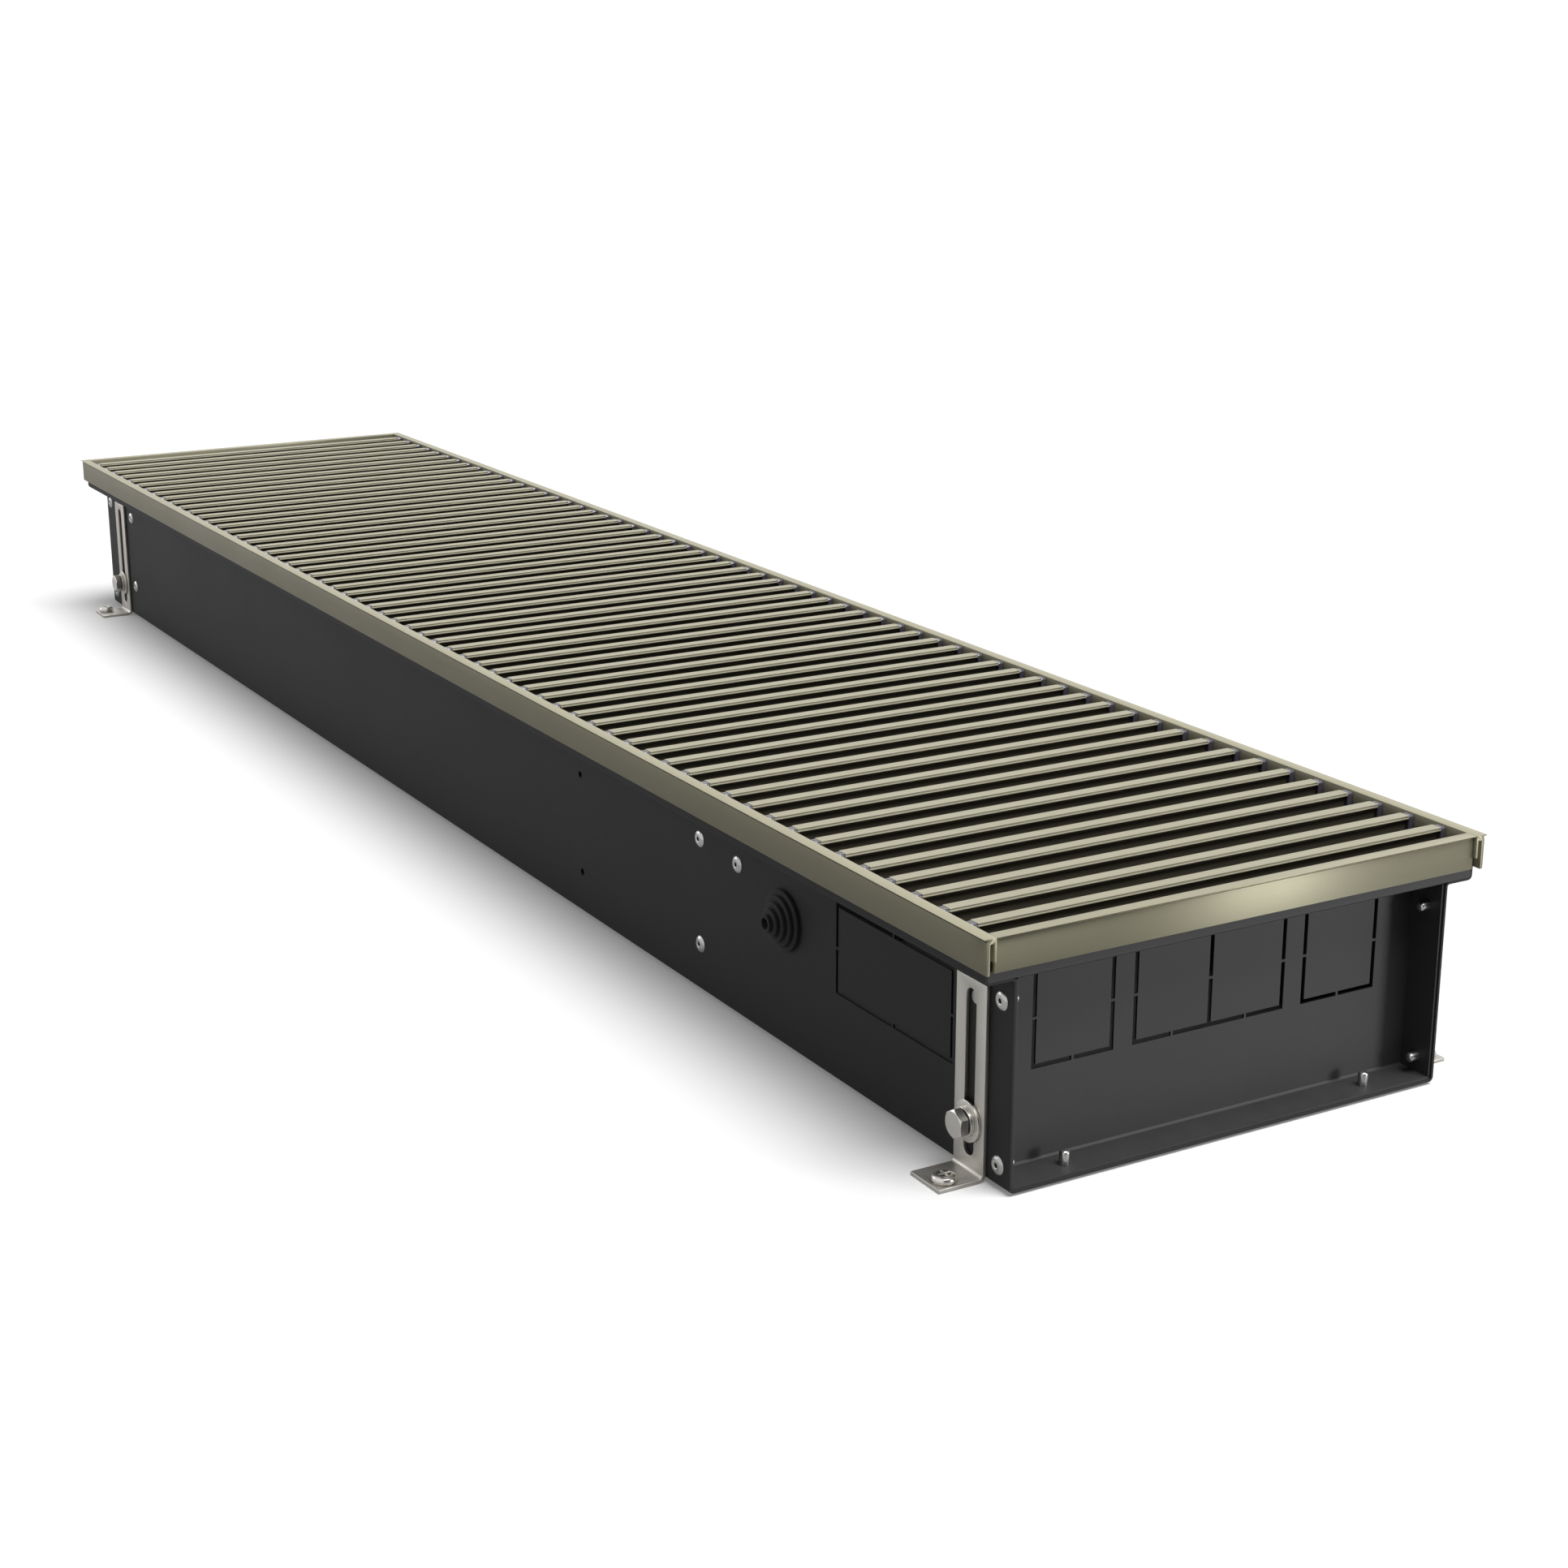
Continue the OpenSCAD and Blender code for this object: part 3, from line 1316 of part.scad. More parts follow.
module cable_bush() {
    color(black) rubber_holder(partition_x + sheet_t / 2, sheet_t, bush_r, cable_r + hole_gap, cable_y);
}

casing_trough();
end_panel_near();
end_panel_far();
rim_side_left();
rim_side_right();
rim_end_near();
rim_end_far();
damping_strip_left();
damping_strip_right();
grille_bars();
grille_end_plugs();
grille_tie_wires();
grille_spacers();
level_bracket_near_left();
level_bracket_near_right();
level_bracket_far_left();
level_bracket_far_right();
foot_screw_near_left();
foot_screw_near_right();
foot_screw_far_left();
foot_screw_far_right();
clamp_bolts();
clamp_washers();
spring_washers();
clamp_nuts();
case_rivets();
slot_rivets();
cable_grommet();
partition();
exchanger_support();
exchanger_fins();
exchanger_tubes();
return_bends();
water_sockets();
air_vent();
bleed_screw();
fan_housing_near();
fan_housing_far();
fan_wheel_near();
fan_wheel_far();
fan_shafts();
shaft_bearings();
bearing_rubbers();
motor_housing();
motor_cap();
motor_stator();
motor_windings();
motor_rotor();
motor_bracket();
motor_rings();
terminal_box();
terminal_lid();
lid_screws();
terminal_block();
terminal_screws();
cable_glands();
motor_cable();
cable_clips();
cable_bush();
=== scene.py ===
"""Looks of a trench convector heater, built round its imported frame.

Meshes, lamps and the camera are placed in metres, in the frame of the heater: +X runs along the
casing towards the connection end, the photographed side faces -Y and +Z is up. Each
sub-assembly is a class that holds its sizes in millimetres, and dresses the solids it owns or
builds finer pieces for them.
"""

import logging
import math
from dataclasses import dataclass, field, replace
from enum import Enum
from typing import Iterable, Sequence

import bmesh
import bpy
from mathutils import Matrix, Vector


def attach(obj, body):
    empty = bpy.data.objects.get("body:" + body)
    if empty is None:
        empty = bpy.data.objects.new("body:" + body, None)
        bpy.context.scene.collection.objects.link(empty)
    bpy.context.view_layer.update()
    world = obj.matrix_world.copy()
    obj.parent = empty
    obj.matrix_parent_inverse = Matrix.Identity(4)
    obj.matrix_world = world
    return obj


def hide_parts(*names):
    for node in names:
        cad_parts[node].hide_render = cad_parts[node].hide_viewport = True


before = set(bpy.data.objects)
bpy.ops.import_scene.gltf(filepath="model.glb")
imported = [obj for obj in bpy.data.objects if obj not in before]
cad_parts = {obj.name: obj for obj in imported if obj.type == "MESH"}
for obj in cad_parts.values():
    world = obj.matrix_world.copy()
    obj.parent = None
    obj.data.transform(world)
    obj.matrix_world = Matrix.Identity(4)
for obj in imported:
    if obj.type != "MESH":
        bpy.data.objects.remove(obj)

LOG = logging.getLogger("trench_heater")
MM = 0.001
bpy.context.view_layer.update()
# Painted shade: dark colour for the bars below their top flange, where the webs lie in shade, and the height over
# which it fades in.
WEB_PAINTED_SHADE = (0.12, 0.11, 0.08, 1.0)
WEB_PAINTED_SHADE_FADE = 0.2 * MM
# Painted shade: near black for the walls of the sheet's slits, so that the slits look dark.
PAINTED_SLIT_SHADE = (0.002, 0.002, 0.002, 1.0)
DUST = (0.42, 0.4, 0.37, 1.0)
DUST_ROUGHNESS = 0.4
WHITE = (1.0, 1.0, 1.0, 1.0)
MERGE = 0.002 * MM
FLAT = math.radians(1.0)

Colour = tuple[float, float, float]
Point = tuple[float, float, float]
Outline = Sequence[tuple[float, float]]


@dataclass
class Graph:
    """Adds and joins the nodes of one shader or geometry tree."""

    tree: bpy.types.NodeTree

    def add(self, kind: str, **settings: object) -> bpy.types.Node:
        """Adds a node.

        Args:
            kind: the node's type name.
            settings: properties to set on the node.

        Returns:
            The new node.
        """
        node = self.tree.nodes.new(kind)
        for name, value in settings.items():
            setattr(node, name, value)
        return node

    def feed(self, socket: bpy.types.NodeSocket, value: object) -> None:
        """Joins an output to a socket, or sets the socket to a plain value.

        Args:
            socket: the input to feed.
            value: an output socket, a number or a vector.
        """
        if isinstance(value, bpy.types.NodeSocket):
            self.tree.links.new(value, socket)
        else:
            socket.default_value = value

    def maths(self, operation: str, a: object, b: object = 0.0) -> bpy.types.NodeSocket:
        """Adds a Math node on two values.

        Args:
            operation: the node's operation.
            a: first socket or number.
            b: second socket or number.

        Returns:
            The result's socket.
        """
        node = self.add("ShaderNodeMath", operation=operation)
        self.feed(node.inputs[0], a)
        self.feed(node.inputs[1], b)
        return node.outputs[0]

    def spread(self, value: object, low: float, high: float, to: tuple[float, float]) -> bpy.types.NodeSocket:
        """Maps a range of values onto another and holds the ends.

        Args:
            value: the socket to map.
            low: value that gives the first end.
            high: value that gives the second end.
            to: the two ends.

        Returns:
            The mapped value's socket.
        """
        node = self.add("ShaderNodeMapRange")
        for socket, number in zip(node.inputs[:5], (value, low, high, to[0], to[1])):
            self.feed(socket, number)
        return node.outputs[0]

    def blend(self, factor: object, a: object, b: object) -> bpy.types.NodeSocket:
        """Mixes two colours.

        Args:
            factor: share of the second colour.
            a: first colour.
            b: second colour.

        Returns:
            The mixed colour's socket.
        """
        node = self.add("ShaderNodeMix", data_type="RGBA")
        self.feed(node.inputs[0], factor)
        self.feed(node.inputs[6], a)
        self.feed(node.inputs[7], b)
        return node.outputs[2]

    def group(self, tree: bpy.types.NodeTree, **values: object) -> bpy.types.Node:
        """Adds a node group and feeds its inputs.

        Args:
            tree: the group's tree.
            values: a socket, a number or a vector for each named input.

        Returns:
            The group's node.
        """
        node = self.add("ShaderNodeGroup", node_tree=tree)
        for name, value in values.items():
            self.feed(node.inputs[name], value)
        return node


def new_group(name: str, inputs: dict[str, float | Point],
              outputs: Iterable[str]) -> tuple[Graph, bpy.types.Node, bpy.types.Node]:
    """Starts a shader group with a place and further inputs, and number outputs.

    Args:
        name: the group's name.
        inputs: name and default of each further input, a number or a vector.
        outputs: names of the number outputs.

    Returns:
        The group's graph, its input node and its output node.
    """
    tree = bpy.data.node_groups.new(name, "ShaderNodeTree")
    tree.interface.new_socket("Place", in_out="INPUT", socket_type="NodeSocketVector")
    for key, default in inputs.items():
        kind = "NodeSocketFloat" if isinstance(default, float) else "NodeSocketVector"
        socket = tree.interface.new_socket(key, in_out="INPUT", socket_type=kind)
        socket.default_value = default
    for key in outputs:
        tree.interface.new_socket(key, in_out="OUTPUT", socket_type="NodeSocketFloat")
    graph = Graph(tree)
    return graph, graph.add("NodeGroupInput"), graph.add("NodeGroupOutput")


def noise(graph: Graph, place: object, scale: object, detail: float, roughness: float = 0.5) -> bpy.types.NodeSocket:
    """Adds a noise texture.

    Args:
        graph: the graph to add it to.
        place: socket of the place to read.
        scale: cells per metre.
        detail: octaves.
        roughness: weight of the finer octaves.

    Returns:
        The noise value's socket.
    """
    node = graph.add("ShaderNodeTexNoise")
    for key, value in (("Vector", place), ("Scale", scale), ("Detail", detail), ("Roughness", roughness)):
        graph.feed(node.inputs[key], value)
    return node.outputs["Fac"]


class Effects:
    """Shader groups that more than one finish uses, each built once."""

    def __init__(self) -> None:
        """Builds the groups."""
        self.grain = self._grain()
        self.drawn = self._drawn()
        self.handling = self._handling()
        self.dust = self._dust()
        self.cut = self._slit_shade()

    def _grain(self) -> bpy.types.NodeTree:
        """Fine pebbled grain of powder coat, moulded plastic or rubber.

        Returns:
            The group, whose Height is the relief and whose Speck varies the colour.
        """
        graph, source, sink = new_group("pebbled_grain", {"Scale": 900.0}, ("Height", "Speck"))
        fine = noise(graph, source.outputs["Place"], source.outputs["Scale"], 2.0)
        coarse = noise(graph, source.outputs["Place"], graph.maths("MULTIPLY", source.outputs["Scale"], 0.31), 1.0)
        mixed = graph.maths("ADD", graph.maths("MULTIPLY", fine, 0.6), graph.maths("MULTIPLY", coarse, 0.4))
        graph.feed(sink.inputs["Height"], mixed)
        graph.feed(sink.inputs["Speck"], graph.spread(fine, 0.35, 0.7, (0.0, 1.0)))
        return graph.tree

    def _drawn(self) -> bpy.types.NodeTree:
        """Fine lines left along a drawn, rolled or brushed surface.

        Returns:
            The group, whose Place is already stretched along the lines.
        """
        graph, source, sink = new_group("drawn_lines", {"Scale": 1200.0}, ("Height", "Streak"))
        fine = noise(graph, source.outputs["Place"], source.outputs["Scale"], 3.0, 0.65)
        broad = noise(graph, source.outputs["Place"], graph.maths("MULTIPLY", source.outputs["Scale"], 0.12), 2.0)
        graph.feed(sink.inputs["Height"], fine)
        mixed = graph.maths("ADD", graph.maths("MULTIPLY", fine, 0.55), graph.maths("MULTIPLY", broad, 0.45))
        graph.feed(sink.inputs["Streak"], graph.spread(mixed, 0.36, 0.64, (0.0, 1.0)))
        return graph.tree

    def _handling(self) -> bpy.types.NodeTree:
        """Cloudy unevenness of gloss, as handling and storage leave it.

        Returns:
            The group, whose Cloud is nought to one.
        """
        graph, source, sink = new_group("handling_marks", {"Scale": 14.0}, ("Cloud",))
        cloud = noise(graph, source.outputs["Place"], source.outputs["Scale"], 4.0, 0.6)
        graph.feed(sink.inputs["Cloud"], graph.spread(cloud, 0.38, 0.66, (0.0, 1.0)))
        return graph.tree

    def _dust(self) -> bpy.types.NodeTree:
        """Thin dust that settles on faces that look up.

        Returns:
            The group, whose Mask is nought to one.
        """
        graph, source, sink = new_group("settled_dust", {"Amount": 0.2}, ("Mask",))
        facing = graph.add("ShaderNodeSeparateXYZ")
        graph.feed(facing.inputs[0], graph.add("ShaderNodeNewGeometry").outputs["Normal"])
        upward = graph.spread(facing.outputs["Z"], 0.6, 1.0, (0.0, 1.0))
        patch = graph.spread(noise(graph, source.outputs["Place"], 60.0, 5.0, 0.7), 0.42, 0.7, (0.2, 1.0))
        amount = graph.maths("MULTIPLY", upward, graph.maths("MULTIPLY", patch, source.outputs["Amount"]))
        graph.feed(sink.inputs["Mask"], amount)
        return graph.tree

    def _slit_shade(self) -> bpy.types.NodeTree:
        """Region within a sheet's thickness, where only the walls of its slits and holes lie, for painted shade on
        those walls.

        Returns:
            The group, whose Mask is one inside the box and its mirror images.
        """
        start = {"Middle": (0.0, 0.0, 0.0), "Half": (1.0, 1.0, 1.0)}
        graph, source, sink = new_group("painted_slit_shade", start, ("Mask",))
        value = source.outputs["Place"]
        for operation, key in (("ABSOLUTE", None), ("SUBTRACT", "Middle"), ("ABSOLUTE", None), ("DIVIDE", "Half")):
            node = graph.add("ShaderNodeVectorMath", operation=operation)
            graph.feed(node.inputs[0], value)
            if key:
                graph.feed(node.inputs[1], source.outputs[key])
            value = node.outputs[0]
        parts = graph.add("ShaderNodeSeparateXYZ")
        graph.feed(parts.inputs[0], value)
        level = graph.maths("MAXIMUM", parts.outputs["X"], parts.outputs["Y"])
        most = graph.maths("MAXIMUM", level, parts.outputs["Z"])
        graph.feed(sink.inputs["Mask"], graph.maths("LESS_THAN", most, 1.0))
        return graph.tree


class Grain(Enum):
    """Relief of a finish: pebbled, or drawn into lines along one axis."""

    PEBBLED = (1.0, 1.0, 1.0)
    ALONG_X = (0.02, 1.0, 1.0)
    ALONG_Y = (1.0, 0.02, 1.0)
    ALONG_Z = (1.0, 1.0, 0.02)


@dataclass(frozen=True)
class Finish:
    """A surface finish, with its relief, unevenness and dust.

    Below a given height, in millimetres, its colour turns dark: painted shade for the bars' webs, which lie in
    shade. The slit walls inside given boxes, each given by its middle and half its size, turn near black: painted
    shade in the slits.
    """

    name: str
    colour: Colour
    shade: Colour
    metallic: float
    roughness: tuple[float, float]
    grain: Grain = Grain.PEBBLED
    grain_scale: float = 900.0
    relief: float = 0.02
    relief_depth: float = 0.02 * MM
    cloud: float = 0.5
    dust: float = 0.0
    coat: float = 0.0
    specular: float = 0.5
    stretch: float = 0.0
    # Height in millimetres below which the colour turns dark: painted shade.
    painted_shade_below: float | None = None
    # Boxes, each its middle and half its size in millimetres, whose slit walls are painted near black: painted
    # shade.
    slit_shade_boxes: tuple[tuple[Point, Point], ...] = ()

    def material(self, effects: Effects) -> bpy.types.Material:
        """Builds the finish's material, or returns the one already built.

        Args:
            effects: the shared shader groups.

        Returns:
            The material.
        """
        known = bpy.data.materials.get(self.name)
        if known:
            return known
        made = bpy.data.materials.new(self.name)
        made.use_nodes = True
        graph = Graph(made.node_tree)
        shader = made.node_tree.nodes["Principled BSDF"]
        place = graph.add("ShaderNodeTexCoord").outputs["Object"]
        stretched = graph.add("ShaderNodeMapping")
        graph.feed(stretched.inputs["Vector"], place)
        stretched.inputs["Scale"].default_value = self.grain.value

        lines = self.grain is not Grain.PEBBLED
        relief = graph.group(effects.drawn if lines else effects.grain, Place=stretched.outputs["Vector"],
                             Scale=self.grain_scale)
        cloud = graph.group(effects.handling, Place=place)
        dust = graph.group(effects.dust, Place=place, Amount=self.dust)

        varied = graph.maths("MULTIPLY_ADD", cloud.outputs["Cloud"], self.cloud)
        graph.feed(varied.node.inputs[2], graph.maths("MULTIPLY", relief.outputs[1], 1.0 - self.cloud))
        base = graph.blend(varied, (*self.colour, 1.0), (*self.shade, 1.0))
        # Painted shade: below the given height the colour turns dark, as the bars' webs lie in shade.
        if self.painted_shade_below is not None:
            height = graph.add("ShaderNodeSeparateXYZ")
            graph.feed(height.inputs[0], place)
            edge = self.painted_shade_below * MM
            below = graph.spread(height.outputs["Z"], edge - WEB_PAINTED_SHADE_FADE, edge, (1.0, 0.0))
            base = graph.blend(below, base, WEB_PAINTED_SHADE)
        # Painted shade: slit walls inside the given boxes turn near black.
        for middle, half in self.slit_shade_boxes:
            cut = graph.group(effects.cut, Place=place, Middle=[v * MM for v in middle],
                              Half=[v * MM for v in half])
            base = graph.blend(cut.outputs["Mask"], base, PAINTED_SLIT_SHADE)
        graph.feed(shader.inputs["Base Color"], graph.blend(dust.outputs["Mask"], base, DUST))
        rough = graph.spread(varied, 0.0, 1.0, self.roughness)
        dulled = graph.maths("MULTIPLY", dust.outputs["Mask"], DUST_ROUGHNESS)
        graph.feed(shader.inputs["Roughness"], graph.maths("ADD", rough, dulled))
        shader.inputs["Metallic"].default_value = self.metallic
        shader.inputs["Coat Weight"].default_value = self.coat
        shader.inputs["Specular IOR Level"].default_value = self.specular
        if self.stretch:
            shader.inputs["Anisotropic"].default_value = self.stretch
            across = graph.add("ShaderNodeVectorMath", operation="CROSS_PRODUCT")
            graph.feed(across.inputs[0], graph.add("ShaderNodeNewGeometry").outputs["Normal"])
            across.inputs[1].default_value = [float(share < 1.0) for share in self.grain.value]
            graph.feed(shader.inputs["Tangent"], across.outputs[0])
        bump = graph.add("ShaderNodeBump")
        bump.inputs["Strength"].default_value = self.relief
        bump.inputs["Distance"].default_value = self.relief_depth
        graph.feed(bump.inputs["Height"], relief.outputs["Height"])
        graph.feed(shader.inputs["Normal"], bump.outputs["Normal"])
        return made


class Axis(Enum):
    """Direction that a section is drawn out along, or that a form turns about."""

    X = 0
    Y = 1
    Z = 2

    def point(self, u: float, v: float, along: float) -> Vector:
        """Gives the point at a place across the axis and a place along it.

        Args:
            u: place along the first of the other two axes, in their order.
            v: place along the second of them.
            along: place along this axis.

        Returns:
            The point.
        """
        parts = [u, v]
        parts.insert(self.value, along)
        return Vector(parts)


class Form:
    """Closed solids collected into one mesh."""

    def __init__(self) -> None:
        """Starts with no solid."""
        self.mesh = bmesh.new()

    @classmethod
    def copied(cls, node: str) -> "Form":
        """Starts from a copy of a CAD node's mesh, with its flat faces joined up.

        Args:
            node: the node's name.

        Returns:
            The form.
        """
        form = cls()
        form.mesh.from_mesh(bpy.data.objects[node].data)
        bmesh.ops.remove_doubles(form.mesh, verts=form.mesh.verts[:], dist=MERGE)
        bmesh.ops.dissolve_limit(form.mesh, angle_limit=FLAT, verts=form.mesh.verts[:],
                                 edges=form.mesh.edges[:])
        return form

    def join(self, first: list[bmesh.types.BMVert], second: list[bmesh.types.BMVert]) -> None:
        """Joins two rings of corners with faces.

        Args:
            first: the first ring, which may be one corner repeated.
            second: the next ring, with as many corners.
        """
        for i in range(len(first)):
            j = (i + 1) % len(first)
            corners = list(dict.fromkeys((first[i], first[j], second[j], second[i])))
            if len(corners) > 2:
                self.mesh.faces.new(corners)

    def prism(self, outline: Outline, axis: Axis, low: float, high: float) -> list[bmesh.types.BMVert]:
        """Draws a section out along an axis.

        Args:
            outline: the section's corners in order.
            axis: the direction.
            low: where the solid starts.
            high: where it ends.

        Returns:
            The solid's corners, those of the start first.
        """
        rings = [[self.mesh.verts.new(axis.point(u, v, at)) for u, v in outline] for at in (low, high)]
        self.join(*rings)
        for ring in rings:
            self.mesh.faces.new(ring)
        return rings[0] + rings[1]

    def block(self, low: Point, high: Point) -> list[bmesh.types.BMVert]:
        """Adds a box between two corners.

        Args:
            low: the lowest corner.
            high: the highest corner.

        Returns:
            The box's corners.
        """
        outline = ((low[0], low[1]), (high[0], low[1]), (high[0], high[1]), (low[0], high[1]))
        return self.prism(outline, Axis.Z, low[2], high[2])

    def turned(self, profile: Outline, axis: Axis, centre: Point, steps: int = 32, ring: bool = False) -> None:
        """Turns a profile about an axis.

        Args:
            profile: radius and place along the axis of each corner in order.
            axis: the axis's direction.
            centre: a point on the axis, from which the places are measured.
            steps: number of steps around.
            ring: whether the profile closes on itself.
        """
        middle = Vector(centre)
        rows = []
        for radius, along in profile:
            if radius == 0:
                rows.append([self.mesh.verts.new(middle + axis.point(0, 0, along))] * steps)
                continue
            turns = [math.tau * i / steps for i in range(steps)]
            rows.append([self.mesh.verts.new(middle + axis.point(radius * math.cos(a), radius * math.sin(a), along))
                         for a in turns])
        pairs = list(zip(rows, rows[1:] + rows[:1])) if ring else list(zip(rows, rows[1:]))
        for first, second in pairs:
            self.join(first, second)

    def tube(self, route: list[Point], radius: float, steps: int = 20) -> None:
        """Sweeps a round section along a level route.

        Args:
            route: points of the centre line, all at one height.
            radius: the section's radius.
            steps: number of steps around.
        """
        points, up = [Vector(point) for point in route], Vector((0, 0, 1))
        rows = []
        for i, point in enumerate(points):
            before, after = points[max(i - 1, 0)], points[min(i + 1, len(points) - 1)]
            across = (after - before).normalized().cross(up)
            turns = [math.tau * k / steps for k in range(steps)]
            rows.append([self.mesh.verts.new(point + radius * (math.cos(a) * across + math.sin(a) * up))
                         for a in turns])
        for first, second in zip(rows, rows[1:]):
            self.join(first, second)
        self.mesh.faces.new(rows[0])
        self.mesh.faces.new(rows[-1])

    def round_edges(self, width: float, steps: int = 2, sharper: float = 25.0) -> None:
        """Rounds the edges where faces meet sharply.

        Args:
            width: width of the rounding.
            steps: faces across it.
            sharper: least angle between the faces, in degrees.
        """
        self.tidy()
        edges = [e for e in self.mesh.edges
                 if len(e.link_faces) == 2 and e.calc_face_angle(0.0) > math.radians(sharper)]
        bmesh.ops.bevel(self.mesh, geom=edges, offset=width, segments=steps, profile=0.5,
                        affect="EDGES", clamp_overlap=True)

    def tidy(self) -> None:
        """Turns every face outwards."""
        bmesh.ops.recalc_face_normals(self.mesh, faces=self.mesh.faces[:])

    def mirrored(self, axis: Axis) -> None:
        """Adds a mirror image of the whole.

        Args:
            axis: the axis that changes sign.
        """
        copied = bmesh.ops.duplicate(self.mesh, geom=self.mesh.verts[:] + self.mesh.edges[:] + self.mesh.faces[:])
        for part in copied["geom"]:
            if isinstance(part, bmesh.types.BMVert):
                part.co[axis.value] *= -1

    def build(self, name: str, material: bpy.types.Material, smooth: float = 35.0) -> bpy.types.Object:
        """Makes the object.

        Args:
            name: the object's name.
            material: its material.
            smooth: greatest angle that is shaded smoothly, in degrees.

        Returns:
            The new object.
        """
        self.tidy()
        data = bpy.data.meshes.new(name)
        self.mesh.to_mesh(data)
        self.mesh.free()
        return place_object(name, data, material, smooth)


def linked(name: str, data: bpy.types.ID) -> bpy.types.Object:
    """Makes an object and links it into the scene.

    Args:
        name: the object's name.
        data: its mesh, lamp or camera.

    Returns:
        The new object.
    """
    made = bpy.data.objects.new(name, data)
    bpy.context.scene.collection.objects.link(made)
    return made


def place_object(name: str, data: bpy.types.Mesh, material: bpy.types.Material, smooth: float) -> bpy.types.Object:
    """Links a mesh into the scene as an object at the origin.

    Args:
        name: the object's name.
        data: the mesh.
        material: its material.
        smooth: greatest angle that is shaded smoothly, in degrees.

    Returns:
        The new object.
    """
    data.materials.clear()
    data.materials.append(material)
    data.shade_smooth()
    data.set_sharp_from_angle(angle=math.radians(smooth))
    return linked(name, data)


def repeat_tree(name: str) -> bpy.types.NodeTree:
    """Builds the tree that puts a copy of a mesh at each point of a row.

    Args:
        name: the tree's name.

    Returns:
        The tree, with inputs Piece, Count, Start, Step and Finish.
    """
    tree = bpy.data.node_groups.new(name, "GeometryNodeTree")
    for key, kind in (("Piece", "NodeSocketObject"), ("Count", "NodeSocketInt"), ("Start", "NodeSocketVector"),
                      ("Step", "NodeSocketVector"), ("Finish", "NodeSocketMaterial")):
        tree.interface.new_socket(key, in_out="INPUT", socket_type=kind)
    tree.interface.new_socket("Geometry", in_out="OUTPUT", socket_type="NodeSocketGeometry")
    graph = Graph(tree)
    source, sink = graph.add("NodeGroupInput"), graph.add("NodeGroupOutput")
    row = graph.add("GeometryNodeMeshLine", mode="OFFSET")
    for key, port in (("Count", "Count"), ("Start", "Start Location"), ("Step", "Offset")):
        graph.feed(row.inputs[port], source.outputs[key])
    piece = graph.add("GeometryNodeObjectInfo")
    graph.feed(piece.inputs["Object"], source.outputs["Piece"])
    copies = graph.add("GeometryNodeInstanceOnPoints")
    graph.feed(copies.inputs["Points"], row.outputs["Mesh"])
    graph.feed(copies.inputs["Instance"], piece.outputs["Geometry"])
    real = graph.add("GeometryNodeRealizeInstances")
    graph.feed(real.inputs["Geometry"], copies.outputs["Instances"])
    coated = graph.add("GeometryNodeSetMaterial")
    graph.feed(coated.inputs["Geometry"], real.outputs["Geometry"])
    graph.feed(coated.inputs["Material"], source.outputs["Finish"])
    graph.feed(sink.inputs["Geometry"], coated.outputs["Geometry"])
    return tree


def repeated(name: str, piece: bpy.types.Object, count: int, start: Point, step: Point) -> bpy.types.Object:
    """Repeats a piece in a row, and removes the single piece.

    Args:
        name: the new object's name.
        piece: the single piece, around the origin.
        count: number of copies.
        start: place of the first copy.
        step: distance from one copy to the next.

    Returns:
        The new object, a plain mesh.
    """
    tree = bpy.data.node_groups.get("repeat_in_a_row") or repeat_tree("repeat_in_a_row")
    made = linked(name, bpy.data.meshes.new(name))
    modifier = made.modifiers.new("row", "NODES")
    modifier.node_group = tree
    values = {"Piece": piece, "Count": count, "Start": start, "Step": step, "Finish": piece.data.materials[0]}
    for item in tree.interface.items_tree:
        if item.in_out == "INPUT":
            modifier[item.identifier] = values[item.name]
    graph = bpy.context.evaluated_depsgraph_get()
    baked = bpy.data.meshes.new_from_object(made.evaluated_get(graph), depsgraph=graph)
    made.modifiers.clear()
    made.data = baked
    bpy.data.objects.remove(piece)
    return made


# The charcoal coat carries painted shade on the walls of its knock-out slits, in the boxes given below.
CHARCOAL = Finish("charcoal_powder_coat", (0.027, 0.027, 0.028), (0.034, 0.034, 0.035), 0.0, (0.54, 0.62),
                  grain_scale=1400.0, relief=0.12, cloud=0.4, dust=0.02, specular=0.16,
                  slit_shade_boxes=(((680.25, 0.0, 63.0), (0.65, 112.0, 41.0)), ((345.0, 129.25, 57.0), (343.0, 0.65, 46.0))))
END_COAT = replace(CHARCOAL, name="charcoal_end_coat", roughness=(0.48, 0.56), specular=0.42)
RAIL = Finish("champagne_anodised_rail", (0.41, 0.39, 0.285), (0.38, 0.36, 0.26), 0.06, (0.38, 0.46),
              Grain.ALONG_X, 1500.0, relief=0.02, cloud=0.5, dust=0.02, specular=0.1)
CROSS_RAIL = replace(RAIL, name="champagne_anodised_cross_rail", grain=Grain.ALONG_Y)
# Painted shade: a darker copy of the champagne anodising, put on rail faces that look along the casing; its gloss
# differs as well.
SHADED_END_FACE = Finish("champagne_end_face_painted_shade", (0.25, 0.238, 0.17), (0.23, 0.218, 0.155), 0.55, (0.42, 0.46),
                  Grain.ALONG_Y, 1500.0, relief=0.02, cloud=0.5, specular=0.1, stretch=0.95)
